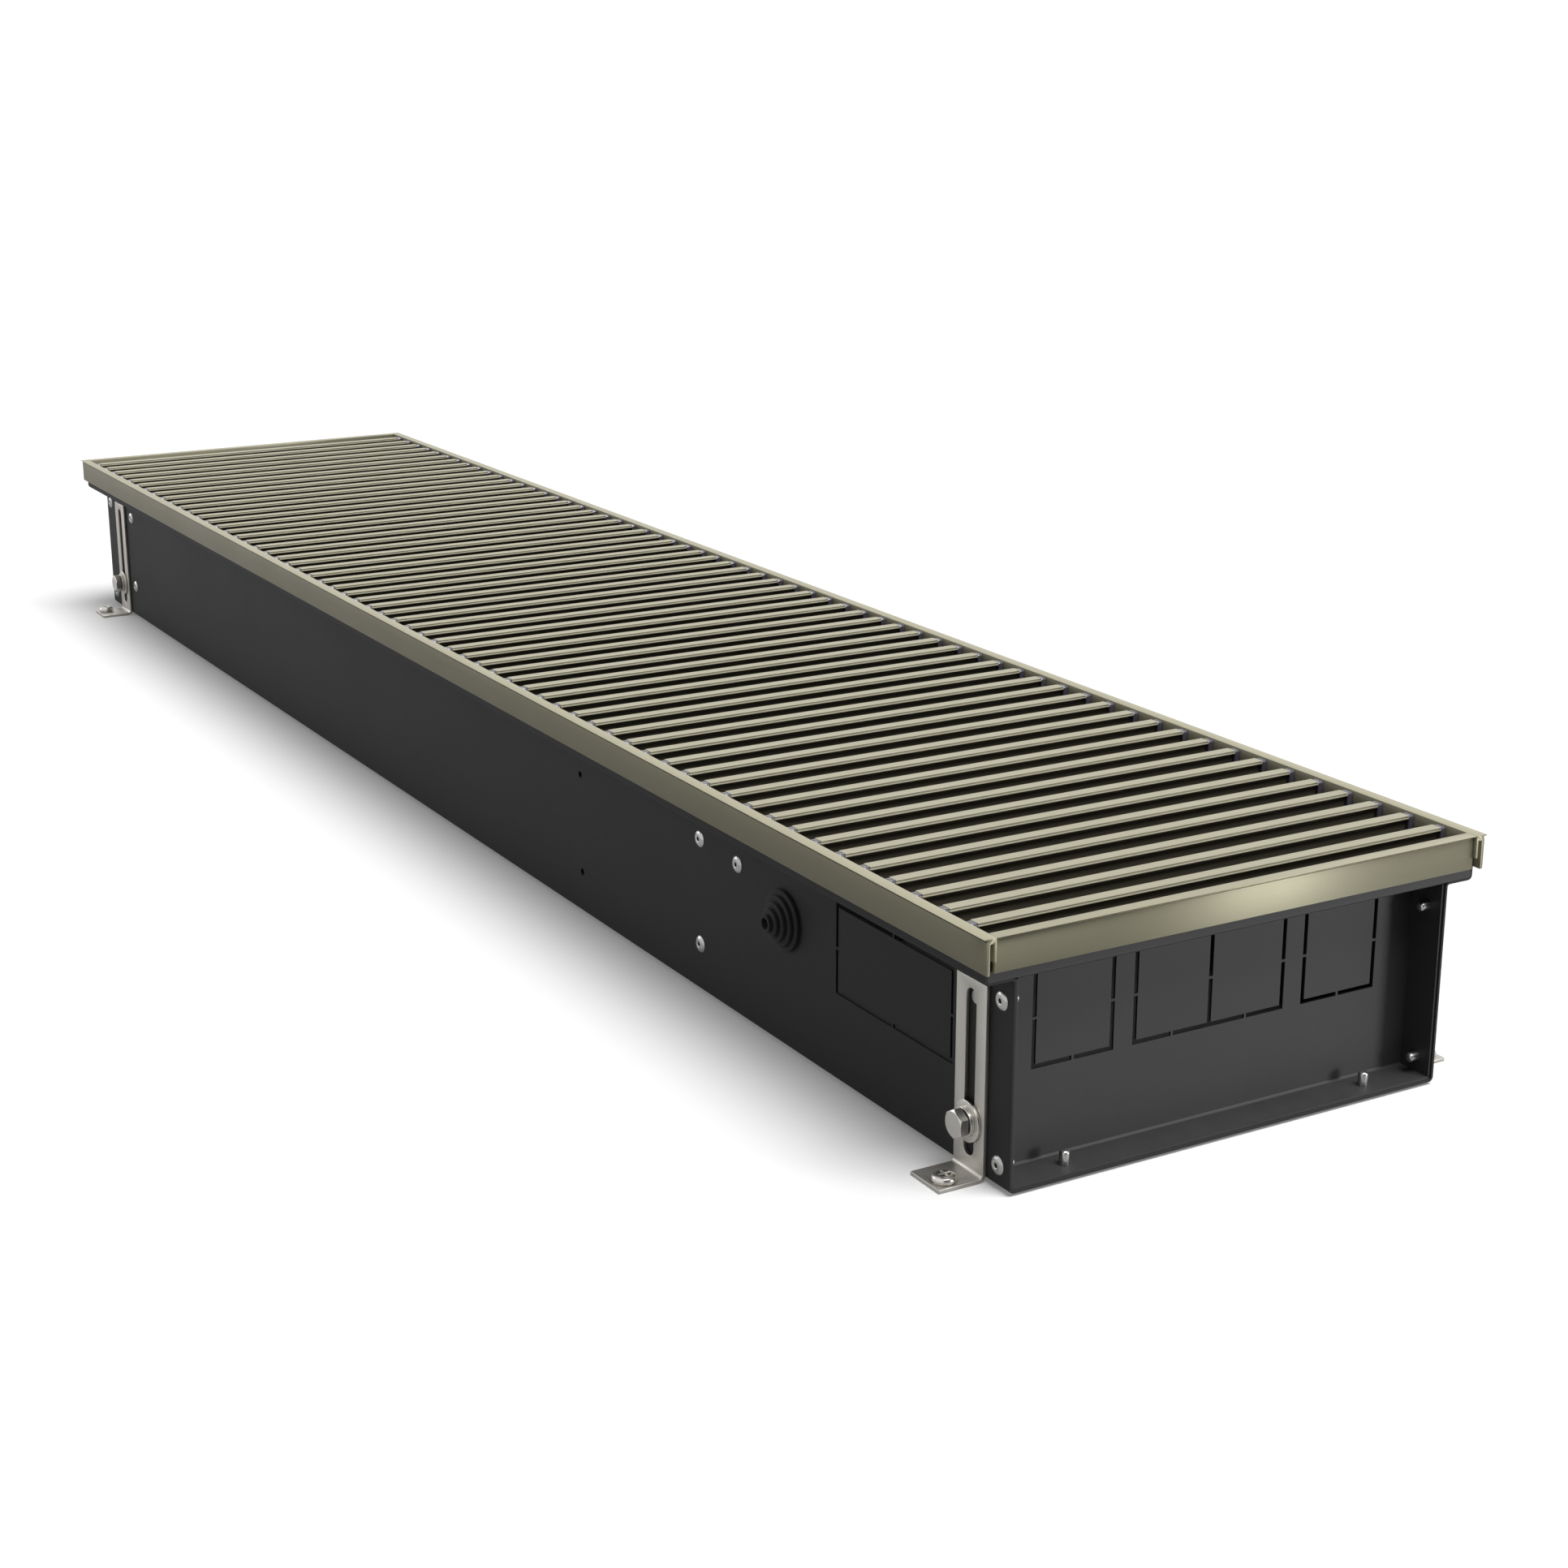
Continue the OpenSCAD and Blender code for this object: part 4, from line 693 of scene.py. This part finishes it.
# The bars take painted shade below their top flange.
BAR = replace(CROSS_RAIL, name="champagne_anodised_bar", metallic=0.15, specular=0.2, painted_shade_below=128.2)
STEEL = Finish("bright_zinc", (0.56, 0.54, 0.50), (0.46, 0.445, 0.41), 0.9, (0.36, 0.48),
               Grain.ALONG_Z, 1100.0, relief=0.05, cloud=0.6, dust=0.02)
BOLT = Finish("plated_bolt", (0.66, 0.64, 0.60), (0.54, 0.525, 0.49), 1.0, (0.24, 0.34),
              grain_scale=700.0, relief=0.01, cloud=1.0)
RIVET = Finish("polished_rivet", (0.48, 0.48, 0.47), (0.38, 0.38, 0.38), 1.0, (0.22, 0.32),
               grain_scale=900.0, relief=0.01, cloud=1.0)
PLUG = Finish("glossy_plug", (0.06, 0.056, 0.075), (0.09, 0.085, 0.11), 0.0, (0.14, 0.24),
              grain_scale=1600.0, relief=0.03, coat=0.5)
RUBBER = Finish("black_rubber", (0.010, 0.010, 0.010), (0.017, 0.017, 0.017), 0.0, (0.36, 0.5),
                grain_scale=800.0, relief=0.15, dust=0.05)
PLASTIC = Finish("black_plastic", (0.014, 0.014, 0.015), (0.02, 0.02, 0.021), 0.0, (0.38, 0.5),
                 grain_scale=1200.0, relief=0.1, dust=0.05)
COATED = Finish("black_coated_sheet", (0.014, 0.014, 0.015), (0.022, 0.022, 0.023), 0.0, (0.4, 0.55),
                grain_scale=1200.0, relief=0.1, cloud=0.5, dust=0.05)
FIN = Finish("black_coated_fins", (0.012, 0.012, 0.013), (0.022, 0.022, 0.023), 0.0, (0.4, 0.54),
             Grain.ALONG_Y, 900.0, relief=0.05, dust=0.04)
COPPER = Finish("drawn_copper", (0.60, 0.25, 0.13), (0.42, 0.15, 0.08), 1.0, (0.24, 0.4),
                Grain.ALONG_X, 1000.0, relief=0.05, cloud=0.7)
BRASS = Finish("turned_brass", (0.62, 0.44, 0.17), (0.50, 0.34, 0.12), 1.0, (0.22, 0.36),
               grain_scale=700.0, relief=0.04, cloud=0.6)
WHEEL = Finish("black_wheel", (0.02, 0.02, 0.021), (0.03, 0.03, 0.031), 0.2, (0.34, 0.5),
               Grain.ALONG_X, 900.0, relief=0.05, dust=0.06)
MOTOR = Finish("painted_motor", (0.15, 0.16, 0.17), (0.19, 0.20, 0.21), 0.2, (0.34, 0.48),
               grain_scale=900.0, relief=0.1, dust=0.05)
BOX = Finish("moulded_box", (0.035, 0.036, 0.038), (0.045, 0.046, 0.048), 0.0, (0.42, 0.56),
             grain_scale=1000.0, relief=0.12, dust=0.06)
CERAMIC = Finish("pale_terminal_block", (0.66, 0.64, 0.58), (0.58, 0.56, 0.5), 0.0, (0.3, 0.44),
                 grain_scale=800.0, relief=0.06, dust=0.04)


def dress(effects: Effects, finish: Finish, *nodes: str) -> None:
    """Gives CAD nodes a finish and leaves their shape alone.

    Args:
        effects: the shared shader groups.
        finish: the finish.
        nodes: names of the nodes.
    """
    material = finish.material(effects)
    for node in nodes:
        for slot in bpy.data.objects[node].material_slots:
            slot.material = material


@dataclass
class Casing:
    """Powder-coated sheet: the trough, the end panels and the plates between the walls."""

    effects: Effects
    nodes: tuple[str, ...] = ("casing_trough", "partition", "exchanger_support")
    ends: tuple[str, ...] = ("end_panel_near", "end_panel_far")

    def build(self) -> None:
        """Dresses the sheet and the strips on the ledge."""
        dress(self.effects, CHARCOAL, *self.nodes)
        dress(self.effects, END_COAT, *self.ends)
        dress(self.effects, RUBBER, "damping_strip_left", "damping_strip_right")


@dataclass
class Rim:
    """Anodised rails round the opening, measured in millimetres from the flange's outer face."""

    effects: Effects
    flange_x: float = 702.0
    flange_y: float = 146.0
    side_reach: float = 706.0
    end_reach: float = 143.1
    top: float = 130.5
    rounding: float = 0.12
    end_facing: float = 0.8

    def section(self, middle: float, sign: int) -> list[tuple[float, float]]:
        """Draws the rails' section.

        Args:
            middle: place of the flange's outer face.
            sign: side of the casing that the rail is on.

        Returns:
            The section's corners, in metres.
        """
        corners = ((4.0, 0.0), (4.0, -0.3), (1.9, -0.8), (1.9, -1.6), (2.4, -1.7), (2.4, -17.5), (0.7, -17.5),
                   (0.7, -2.7), (-1.3, -2.7), (-1.3, -11.5), (-2.8, -11.5), (-2.8, 0.0))
        return [(sign * (middle + u) * MM, (self.top + v) * MM) for u, v in corners]

    def build(self) -> None:
        """Builds the four rails in place of the plain ones."""
        for side, sign in (("left", -1), ("right", 1)):
            form = Form()
            form.prism(self.section(self.flange_y, sign), Axis.X, -self.side_reach * MM, self.side_reach * MM)
            self._finish(form, "rim_side_" + side, RAIL)
        for end, sign in (("far", -1), ("near", 1)):
            form = Form()
            form.prism(self.section(self.flange_x, sign), Axis.Y, -self.end_reach * MM, self.end_reach * MM)
            self._finish(form, "rim_end_" + end, CROSS_RAIL)

    def _finish(self, form: Form, node: str, finish: Finish) -> None:
        """Rounds a rail's edges, dresses its faces and puts it in its node's place.

        Args:
            form: the rail.
            node: the CAD node that it stands for.
            finish: its finish, but for the faces that look along the casing, which take a darker copy: painted
                shade.
        """
        form.round_edges(self.rounding * MM)
        rail = form.build(node + "_rail", finish.material(self.effects))
        # Faces that look along the casing take the darker copy: painted shade.
        rail.data.materials.append(SHADED_END_FACE.material(self.effects))
        for face in rail.data.polygons:
            face.material_index = int(abs(face.normal.x) > self.end_facing)
        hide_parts(node)
        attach(rail, "casing")


@dataclass
class Grille:
    """Cross bars on tie wires, with a plug in each bar end, measured in millimetres."""

    effects: Effects
    pitch: float = 22.74
    half_count: int = 30
    half_width: float = 3.2
    top: float = 130.0
    bottom: float = 110.0
    bar_end: float = 139.2
    plug_end: float = 142.7
    groove: Outline = ((0.0, 0.4), (0.55, 0.45), (0.55, 0.75), (0.0, 1.35))
    flange: float = 1.8
    half_web: float = 1.0
    bar_rounding: float = 0.08
    plug_rounding: float = 0.3
    plug_corner: float = 0.9
    parting: float = 0.2
    parting_depth: float = 0.35
    play: float = 0.1

    def build(self) -> None:
        """Builds the bars and plugs and dresses the wires and sleeves."""
        count, start = 2 * self.half_count + 1, -self.half_count * self.pitch * MM
        bars = repeated("slatted_bars", self._bar(), count, (start, 0, 0), (self.pitch * MM, 0, 0))
        plugs = repeated("bar_plugs", self._plugs(), count, (start, 0, 0), (self.pitch * MM, 0, 0))
        for piece, node in ((bars, "grille_bars"), (plugs, "grille_end_plugs")):
            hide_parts(node)
            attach(piece, "grille")
        dress(self.effects, PLASTIC, "grille_spacers")
        dress(self.effects, STEEL, "grille_tie_wires")

    def _bar(self) -> bpy.types.Object:
        """Builds one bar with softened edges and a fine groove below its top.

        Returns:
            The bar, with its middle at the origin's X and Y.
        """
        half, web, top, low = self.half_width, self.half_web, self.top, self.bottom
        under, over = top - self.flange, low + self.flange
        right = [(half, top), *((half - u, top - v) for u, v in self.groove), (half, under), (web, under),
                 (web, over), (half, over), (half, low)]
        outline = right + [(-u, v) for u, v in reversed(right)]
        form = Form()
        form.prism([(u * MM, v * MM) for u, v in outline], Axis.Y, -self.bar_end * MM, self.bar_end * MM)
        form.round_edges(self.bar_rounding * MM, 1)
        return form.build("single_bar", BAR.material(self.effects))

    def _plugs(self) -> bpy.types.Object:
        """Builds the two rounded plugs of one bar, each with a parting line.

        Returns:
            The plugs, with their middle at the origin's X and Y.
        """
        half, top, low = self.half_width - self.play, self.top - self.play, self.bottom
        corner, line = self.plug_corner, self.parting
        form = Form()
        for side in (-1, 1):
            outline = [(side * half, low + corner), (side * half, top - corner), (side * (half - corner), top),
                       (side * line, top), (side * line, low), (side * (half - corner), low)]
            form.prism([(u * MM, v * MM) for u, v in outline], Axis.Y, self.bar_end * MM, self.plug_end * MM)
        form.block((-line * MM, self.bar_end * MM, low * MM),
                   (line * MM, (self.plug_end - self.parting_depth) * MM, top * MM))
        form.round_edges(self.plug_rounding * MM)
        form.mirrored(Axis.Y)
        return form.build("single_plug_pair", PLUG.material(self.effects))


@dataclass
class LevellingGear:
    """Brackets on the walls with their clamp bolts and foot screws, measured in millimetres."""

    effects: Effects
    bolt_x: tuple[float, float] = (671.0, -660.0)
    bolt_z: float = 27.0
    head_from: float = 135.8
    head_height: float = 5.3
    half_flats: float = 6.5
    collar: float = 0.9
    collar_radii: tuple[float, float] = (4.1, 6.4)
    crown_share: float = 0.96
    chamfer_share: float = 0.55
    shank: Outline = ((4.0, -17.4), (3.4, -18.0), (0, -18.0))
    sharp: float = 40.0
    bolt_steps: tuple[int, int, int] = (48, 32, 24)
    washers: tuple[tuple[str, float], ...] = (("clamp_washers", 0.25), ("spring_washers", 0.3))
    bracket_rounding: float = 0.3
    foot_rounding: float = 0.12

    def build(self) -> None:
        """Builds the brackets, foot screws, bolts and washers."""
        for place in ("near_left", "near_right", "far_left", "far_right"):
            self._softened("level_bracket_" + place, STEEL, "bracket_" + place, self.bracket_rounding)
            self._softened("foot_screw_" + place, BOLT, "bracket_" + place, self.foot_rounding)
        for node, width in self.washers:
            self._softened(node, BOLT, "casing", width)
        self._bolts()
        dress(self.effects, STEEL, "clamp_nuts")

    def _softened(self, node: str, finish: Finish, body: str, width: float) -> None:
        """Puts a copy with rounded edges in a node's place.

        Args:
            node: the CAD node.
            finish: the finish.
            body: the body that it moves with.
            width: width of the rounding in millimetres.
        """
        form = Form.copied(node)
        form.round_edges(width * MM, sharper=self.sharp)
        piece = form.build(node + "_soft", finish.material(self.effects))
        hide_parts(node)
        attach(piece, body)

    def _bolts(self) -> None:
        """Builds hexagon bolts whose faces are chamfered, on a dark ring below each head."""
        form, rings = Form(), Form()
        inner, outer = self.collar_radii
        profile = ((inner, 0), (outer, 0), (outer, self.collar), (inner, self.collar))
        for x in self.bolt_x:
            for side in (-1, 1):
                seat = (x * MM, side * self.head_from * MM, self.bolt_z * MM)
                self._bolt(form, Vector(seat), side)
                rings.turned([(r * MM, side * y * MM) for r, y in profile], Axis.Y, seat, self.bolt_steps[1], True)
        bolts = form.build("hexagon_bolts", BOLT.material(self.effects), 20.0)
        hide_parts("clamp_bolts")
        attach(bolts, "casing")
        dark = rings.build("bolt_rings", RUBBER.material(self.effects))
        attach(dark, "casing")

    def _bolt(self, form: Form, seat: Vector, side: int) -> None:
        """Adds one bolt: its head, its shank and its rounded tip.

        Args:
            form: the form to add to.
            seat: middle of the head's underside.
            side: direction in which the bolt points out of the casing.
        """
        steps, flats = self.bolt_steps[0], self.half_flats * MM
        high, low, crown = self.head_height * MM, self.collar * MM, flats * self.crown_share
        rows = [[], [], []]
        for i in range(steps):
            turn = math.tau * i / steps
            rim = flats / math.cos(((turn + math.tau / 12) % (math.tau / 6)) - math.tau / 12)
            shoulder = high - (rim - crown) * self.chamfer_share
            for row, radius, along in ((0, rim, low), (1, rim, shoulder), (2, crown, high)):
                place = seat + Vector((radius * math.cos(turn), side * along, radius * math.sin(turn)))
                rows[row].append(form.mesh.verts.new(place))
        for first, second in zip(rows, rows[1:]):
            form.join(first, second)
        form.mesh.faces.new(rows[2])
        form.mesh.faces.new(rows[0])
        start = ((0, self.collar), (self.shank[0][0], self.collar))
        profile = [(r * MM, side * y * MM) for r, y in start + self.shank]
        form.turned(profile, Axis.Y, tuple(seat), self.bolt_steps[2])


@dataclass
class Fasteners:
    """Blind rivets through the sheets, measured in millimetres."""

    effects: Effects
    end_x: float = 692.0
    end_z: tuple[float, float] = (12.3, 93.4)
    plate_x: tuple[float, float] = (405.5, -632.3)
    plate_z: tuple[float, float] = (28.6, 89.3)
    box_place: tuple[float, float] = (447.3, 86.8)
    base_y: float = 92.0
    wall: float = 130.0
    base: float = 1.5
    head: Outline = ((0, -2.2), (1.2, -2.2), (1.2, 1.0), (1.5, 1.25), (2.1, 1.3), (2.9, 1.2), (3.7, 0.92),
                     (4.35, 0.5), (4.75, 0.05), (4.7, 0.0), (2.4, 0.0))
    neck: Outline = ((2.4, -2.5), (2.6, -2.6))
    tail: Outline = ((2.6, -9.9), (2.3, -10.7), (1.5, -11.2), (0, -11.2))
    wall_short: float = 2.6
    base_short: float = 1.4
    steps: int = 28

    def build(self) -> None:
        """Builds every blind rivet and dresses the small ones."""
        form = Form()
        walls = [(end * self.end_x, z) for end in (-1, 1) for z in self.end_z]
        walls += [(x, z) for x in self.plate_x for z in self.plate_z]
        for side in (-1, 1):
            for x, z in walls + ([self.box_place] if side < 0 else []):
                self._rivet(form, Axis.Y, side, (x, side * self.wall, z))
        for end in (-1, 1):
            for side in (-1, 1):
                self._rivet(form, Axis.Z, -1, (end * self.end_x, side * self.base_y, self.base))
        rivets = form.build("domed_rivets", RIVET.material(self.effects), 50.0)
        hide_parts("case_rivets")
        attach(rivets, "casing")
        dress(self.effects, RIVET, "slot_rivets")

    def _rivet(self, form: Form, axis: Axis, sign: int, place: Point) -> None:
        """Adds one rivet.

        Args:
            form: the form to add to.
            axis: the axis that it lies along.
            sign: direction in which its head points.
            place: middle of the head's underside, in millimetres.
        """
        short = self.wall_short if axis is Axis.Y else self.base_short
        tail = tuple((r, along + short) for r, along in self.tail)
        profile = [(r * MM, sign * along * MM) for r, along in self.head + self.neck + tail]
        form.turned(profile, axis, tuple(v * MM for v in place), self.steps)


@dataclass
class Grommet:
    """Stepped rubber cone in the left wall, measured in millimetres."""

    effects: Effects
    x: float = 497.0
    z: float = 71.2
    wall: float = 130.0
    reach: float = 11.8
    steps: int = 5
    base: float = 16.5
    tip: float = 4.7
    bore: float = 3.3
    rounding: float = 0.6
    round_steps: int = 4
    draft: float = 0.3
    neck: float = 13.53
    neck_depth: float = 1.2
    lip: float = 15.6
    lip_depth: float = 3.6

    def build(self) -> None:
        """Builds the grommet with rounded steps."""
        rise, fall = self.reach / self.steps, (self.base - self.tip) / (self.steps - 1)
        outside = []
        for i in range(self.steps):
            foot, crown = self.base - i * fall, (i + 1) * rise - self.rounding
            outside.append((foot - self.draft, i * rise))
            outside.append((foot, i * rise + self.rounding))
            for k in range(self.round_steps + 1):
                turn = math.tau / (4 * self.round_steps) * k
                outside.append((foot - self.rounding * (1 - math.cos(turn)), crown + self.rounding * math.sin(turn)))
        inside = [(self.bore, self.reach), (self.bore, self.reach - rise),
                  (self.neck - self.neck_depth, -self.lip_depth), (self.lip, -self.lip_depth),
                  (self.lip, -self.neck_depth), (self.neck, -self.neck_depth), (self.neck, 0.0)]
        form = Form()
        form.turned([(r * MM, -along * MM) for r, along in outside + inside], Axis.Y,
                    (self.x * MM, -self.wall * MM, self.z * MM), 64, True)
        piece = form.build("stepped_grommet", RUBBER.material(self.effects), 60.0)
        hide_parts("cable_grommet")
        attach(piece, "casing")


@dataclass
class Wiring:
    """Cable from the terminal box to the motor, measured in millimetres."""

    effects: Effects
    box_end: float = 432.0
    motor_x: float = -110.0
    motor_y: float = -97.0
    run_y: float = -114.0
    height: float = 50.0
    bend: float = 12.0
    bend_steps: int = 12
    radius: float = 3.0

    def build(self) -> None:
        """Builds the cable round its bend in place of the plain one."""
        turn_x, turn_y = self.motor_x + self.bend, self.run_y + self.bend
        route = [(self.box_end, self.run_y)]
        for k in range(self.bend_steps + 1):
            angle = math.tau / (4 * self.bend_steps) * k
            route.append((turn_x - self.bend * math.sin(angle), turn_y - self.bend * math.cos(angle)))
        route.append((self.motor_x, self.motor_y))
        form = Form()
        form.tube([(x * MM, y * MM, self.height * MM) for x, y in route], self.radius * MM)
        cable = form.build("motor_cable_sheath", PLASTIC.material(self.effects))
        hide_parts("motor_cable")
        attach(cable, "casing")


@dataclass
class Internals:
    """Finishes of the pieces below the grille."""

    effects: Effects
    finishes: dict[Finish, tuple[str, ...]] = field(default_factory=lambda: {
        FIN: ("exchanger_fins",),
        COPPER: ("exchanger_tubes", "return_bends", "motor_windings"),
        BRASS: ("water_sockets", "air_vent", "terminal_screws", "shaft_bearings"),
        COATED: ("fan_housing_near", "fan_housing_far", "motor_bracket"),
        WHEEL: ("fan_wheel_near", "fan_wheel_far"),
        BOLT: ("fan_shafts", "bleed_screw", "lid_screws"),
        MOTOR: ("motor_housing", "motor_cap", "motor_stator", "motor_rotor"),
        RUBBER: ("bearing_rubbers", "motor_rings", "cable_bush"),
        PLASTIC: ("cable_glands", "cable_clips"),
        BOX: ("terminal_box", "terminal_lid"),
        CERAMIC: ("terminal_block",),
    })

    def build(self) -> None:
        """Dresses every inner node."""
        for finish, nodes in self.finishes.items():
            dress(self.effects, finish, *nodes)


@dataclass(frozen=True)
class Lamp:
    """A square soft lamp that points at the heater."""

    name: str
    place: Point
    target: Point
    size: float
    watts: float

    def build(self) -> None:
        """Adds the lamp."""
        data = bpy.data.lights.new(self.name, "AREA")
        data.shape = "SQUARE"
        data.size = self.size
        data.energy = self.watts
        lamp = linked(self.name, data)
        lamp.location = self.place
        lamp.rotation_euler = (Vector(self.target) - Vector(self.place)).to_track_quat("-Z", "Y").to_euler()


@dataclass
class Studio:
    """Floor, lamps, dark card, white surround and the photograph's camera."""

    eye: Point = (1.59692, -0.76971, 0.53097)
    tilt: float = 16.901
    azimuth: float = 59.826
    lens: float = 60.24
    lamps: tuple[Lamp, ...] = (
        Lamp("end_lamp", (2.45, 1.5, 0.28), (0.7, 0.0, 0.1), 0.45, 26.0),
        Lamp("side_lamp", (-3.4, -2.6, 1.4), (0.3, -0.13, 0.08), 1.5, 22.0),
    )
    sun_from: Point = (0.34, 0.12, 0.94)
    sun_strength: float = 3.3
    sun_spread: float = 36.0
    sensor: float = 36.0
    surround: tuple[float, float] = (0.16, 1.0)
    floor_size: float = 80.0
    floor_grey: tuple[Colour, Colour] = ((0.16, 0.16, 0.16), (0.78, 0.78, 0.78))
    floor_from: tuple[float, float] = (1.6, 3.2)
    floor_glow: tuple[float, float] = (0.14, 1.0)
    mirrored_loss: float = 0.6
    matt: float = 0.9
    card: tuple[Point, Point] = ((2.6, -1.6, 0.0), (2.62, 1.2, 1.6))
    card_colour: Colour = (0.02, 0.02, 0.02)

    def build(self) -> None:
        """Sets up the whole studio."""
        bpy.context.scene.view_settings.view_transform = "Standard"
        self._camera()
        self._world()
        self._floor()
        self._sun()
        self._card()
        for lamp in self.lamps:
            lamp.build()

    def _camera(self) -> None:
        """Adds the camera and makes it the scene's."""
        data = bpy.data.cameras.new("photo_camera")
        data.lens = self.lens
        data.sensor_width = self.sensor
        camera = linked("photo_camera", data)
        camera.location = self.eye
        camera.rotation_euler = (math.radians(90.0 - self.tilt), 0.0, math.radians(self.azimuth))
        bpy.context.scene.camera = camera

    def _rays(self, graph: Graph) -> tuple[bpy.types.NodeSocket, bpy.types.NodeSocket]:
        """Adds the masks of the rays that show the background.

        Args:
            graph: the graph to add them to.

        Returns:
            The mask of camera, glossy and transmission rays, and that of glossy rays alone.
        """
        path = graph.add("ShaderNodeLightPath")
        glossy = path.outputs["Is Glossy Ray"]
        either = graph.maths("MAXIMUM", path.outputs["Is Camera Ray"], glossy)
        return graph.maths("MAXIMUM", either, path.outputs["Is Transmission Ray"]), glossy

    def _world(self) -> None:
        """Makes a surround that looks white and lights softly."""
        world = bpy.data.worlds.new("studio_surround")
        bpy.context.scene.world = world
        world.use_nodes = True
        graph = Graph(world.node_tree)
        background = world.node_tree.nodes["Background"]
        background.inputs["Color"].default_value = WHITE
        graph.feed(background.inputs["Strength"], graph.spread(self._rays(graph)[0], 0.0, 1.0, self.surround))

    def _sun(self) -> None:
        """Adds the broad key light."""
        data = bpy.data.lights.new("key_light", "SUN")
        data.energy = self.sun_strength
        data.angle = math.radians(self.sun_spread)
        light = linked("key_light", data)
        light.rotation_euler = Vector(self.sun_from).to_track_quat("Z", "Y").to_euler()

    def _card(self) -> None:
        """Stands a dark card beyond the near end, which mirrors it. No camera and no shadow shows it."""
        form = Form()
        form.block(*self.card)
        made = bpy.data.materials.new("dark_cards")
        made.use_nodes = True
        shader = made.node_tree.nodes["Principled BSDF"]
        shader.inputs["Base Color"].default_value = (*self.card_colour, 1.0)
        shader.inputs["Roughness"].default_value = self.matt
        card = form.build("dark_cards", made)
        card.visible_camera = False
        card.visible_shadow = False

    def _floor(self) -> None:
        """Lays a pale floor that keeps the heater's shadow, is white further off and darker in metal."""
        mesh = bmesh.new()
        bmesh.ops.create_grid(mesh, x_segments=1, y_segments=1, size=self.floor_size)
        data = bpy.data.meshes.new("studio_floor")
        mesh.to_mesh(data)
        mesh.free()
        made = bpy.data.materials.new("pale_floor")
        made.use_nodes = True
        graph = Graph(made.node_tree)
        shader = made.node_tree.nodes["Principled BSDF"]
        seen, glossy = self._rays(graph)
        lost = graph.maths("MULTIPLY", glossy, self.mirrored_loss)
        lighting, showing = ((*grey, 1.0) for grey in self.floor_grey)
        shown = graph.blend(graph.maths("SUBTRACT", seen, lost), lighting, showing)
        graph.feed(shader.inputs["Base Color"], shown)
        shader.inputs["Roughness"].default_value = self.matt
        shader.inputs["Specular IOR Level"].default_value = 0.1
        shader.inputs["Emission Color"].default_value = WHITE
        away = graph.add("ShaderNodeVectorMath", operation="LENGTH")
        graph.feed(away.inputs[0], graph.add("ShaderNodeTexCoord").outputs["Object"])
        glow = graph.spread(away.outputs["Value"], *self.floor_from, self.floor_glow)
        graph.feed(shader.inputs["Emission Strength"], graph.maths("MULTIPLY", seen, glow))
        floor = place_object("studio_floor", data, made, 30.0)


def main() -> None:
    """Builds the looks of the heater and its studio."""
    logging.basicConfig(level=logging.INFO)
    effects = Effects()
    Studio().build()
    for part in (Casing(effects), Rim(effects), Grille(effects), LevellingGear(effects), Fasteners(effects),
                 Grommet(effects), Wiring(effects), Internals(effects)):
        part.build()
        LOG.info("built %s", type(part).__name__)


if __name__ == "__main__":
    main()
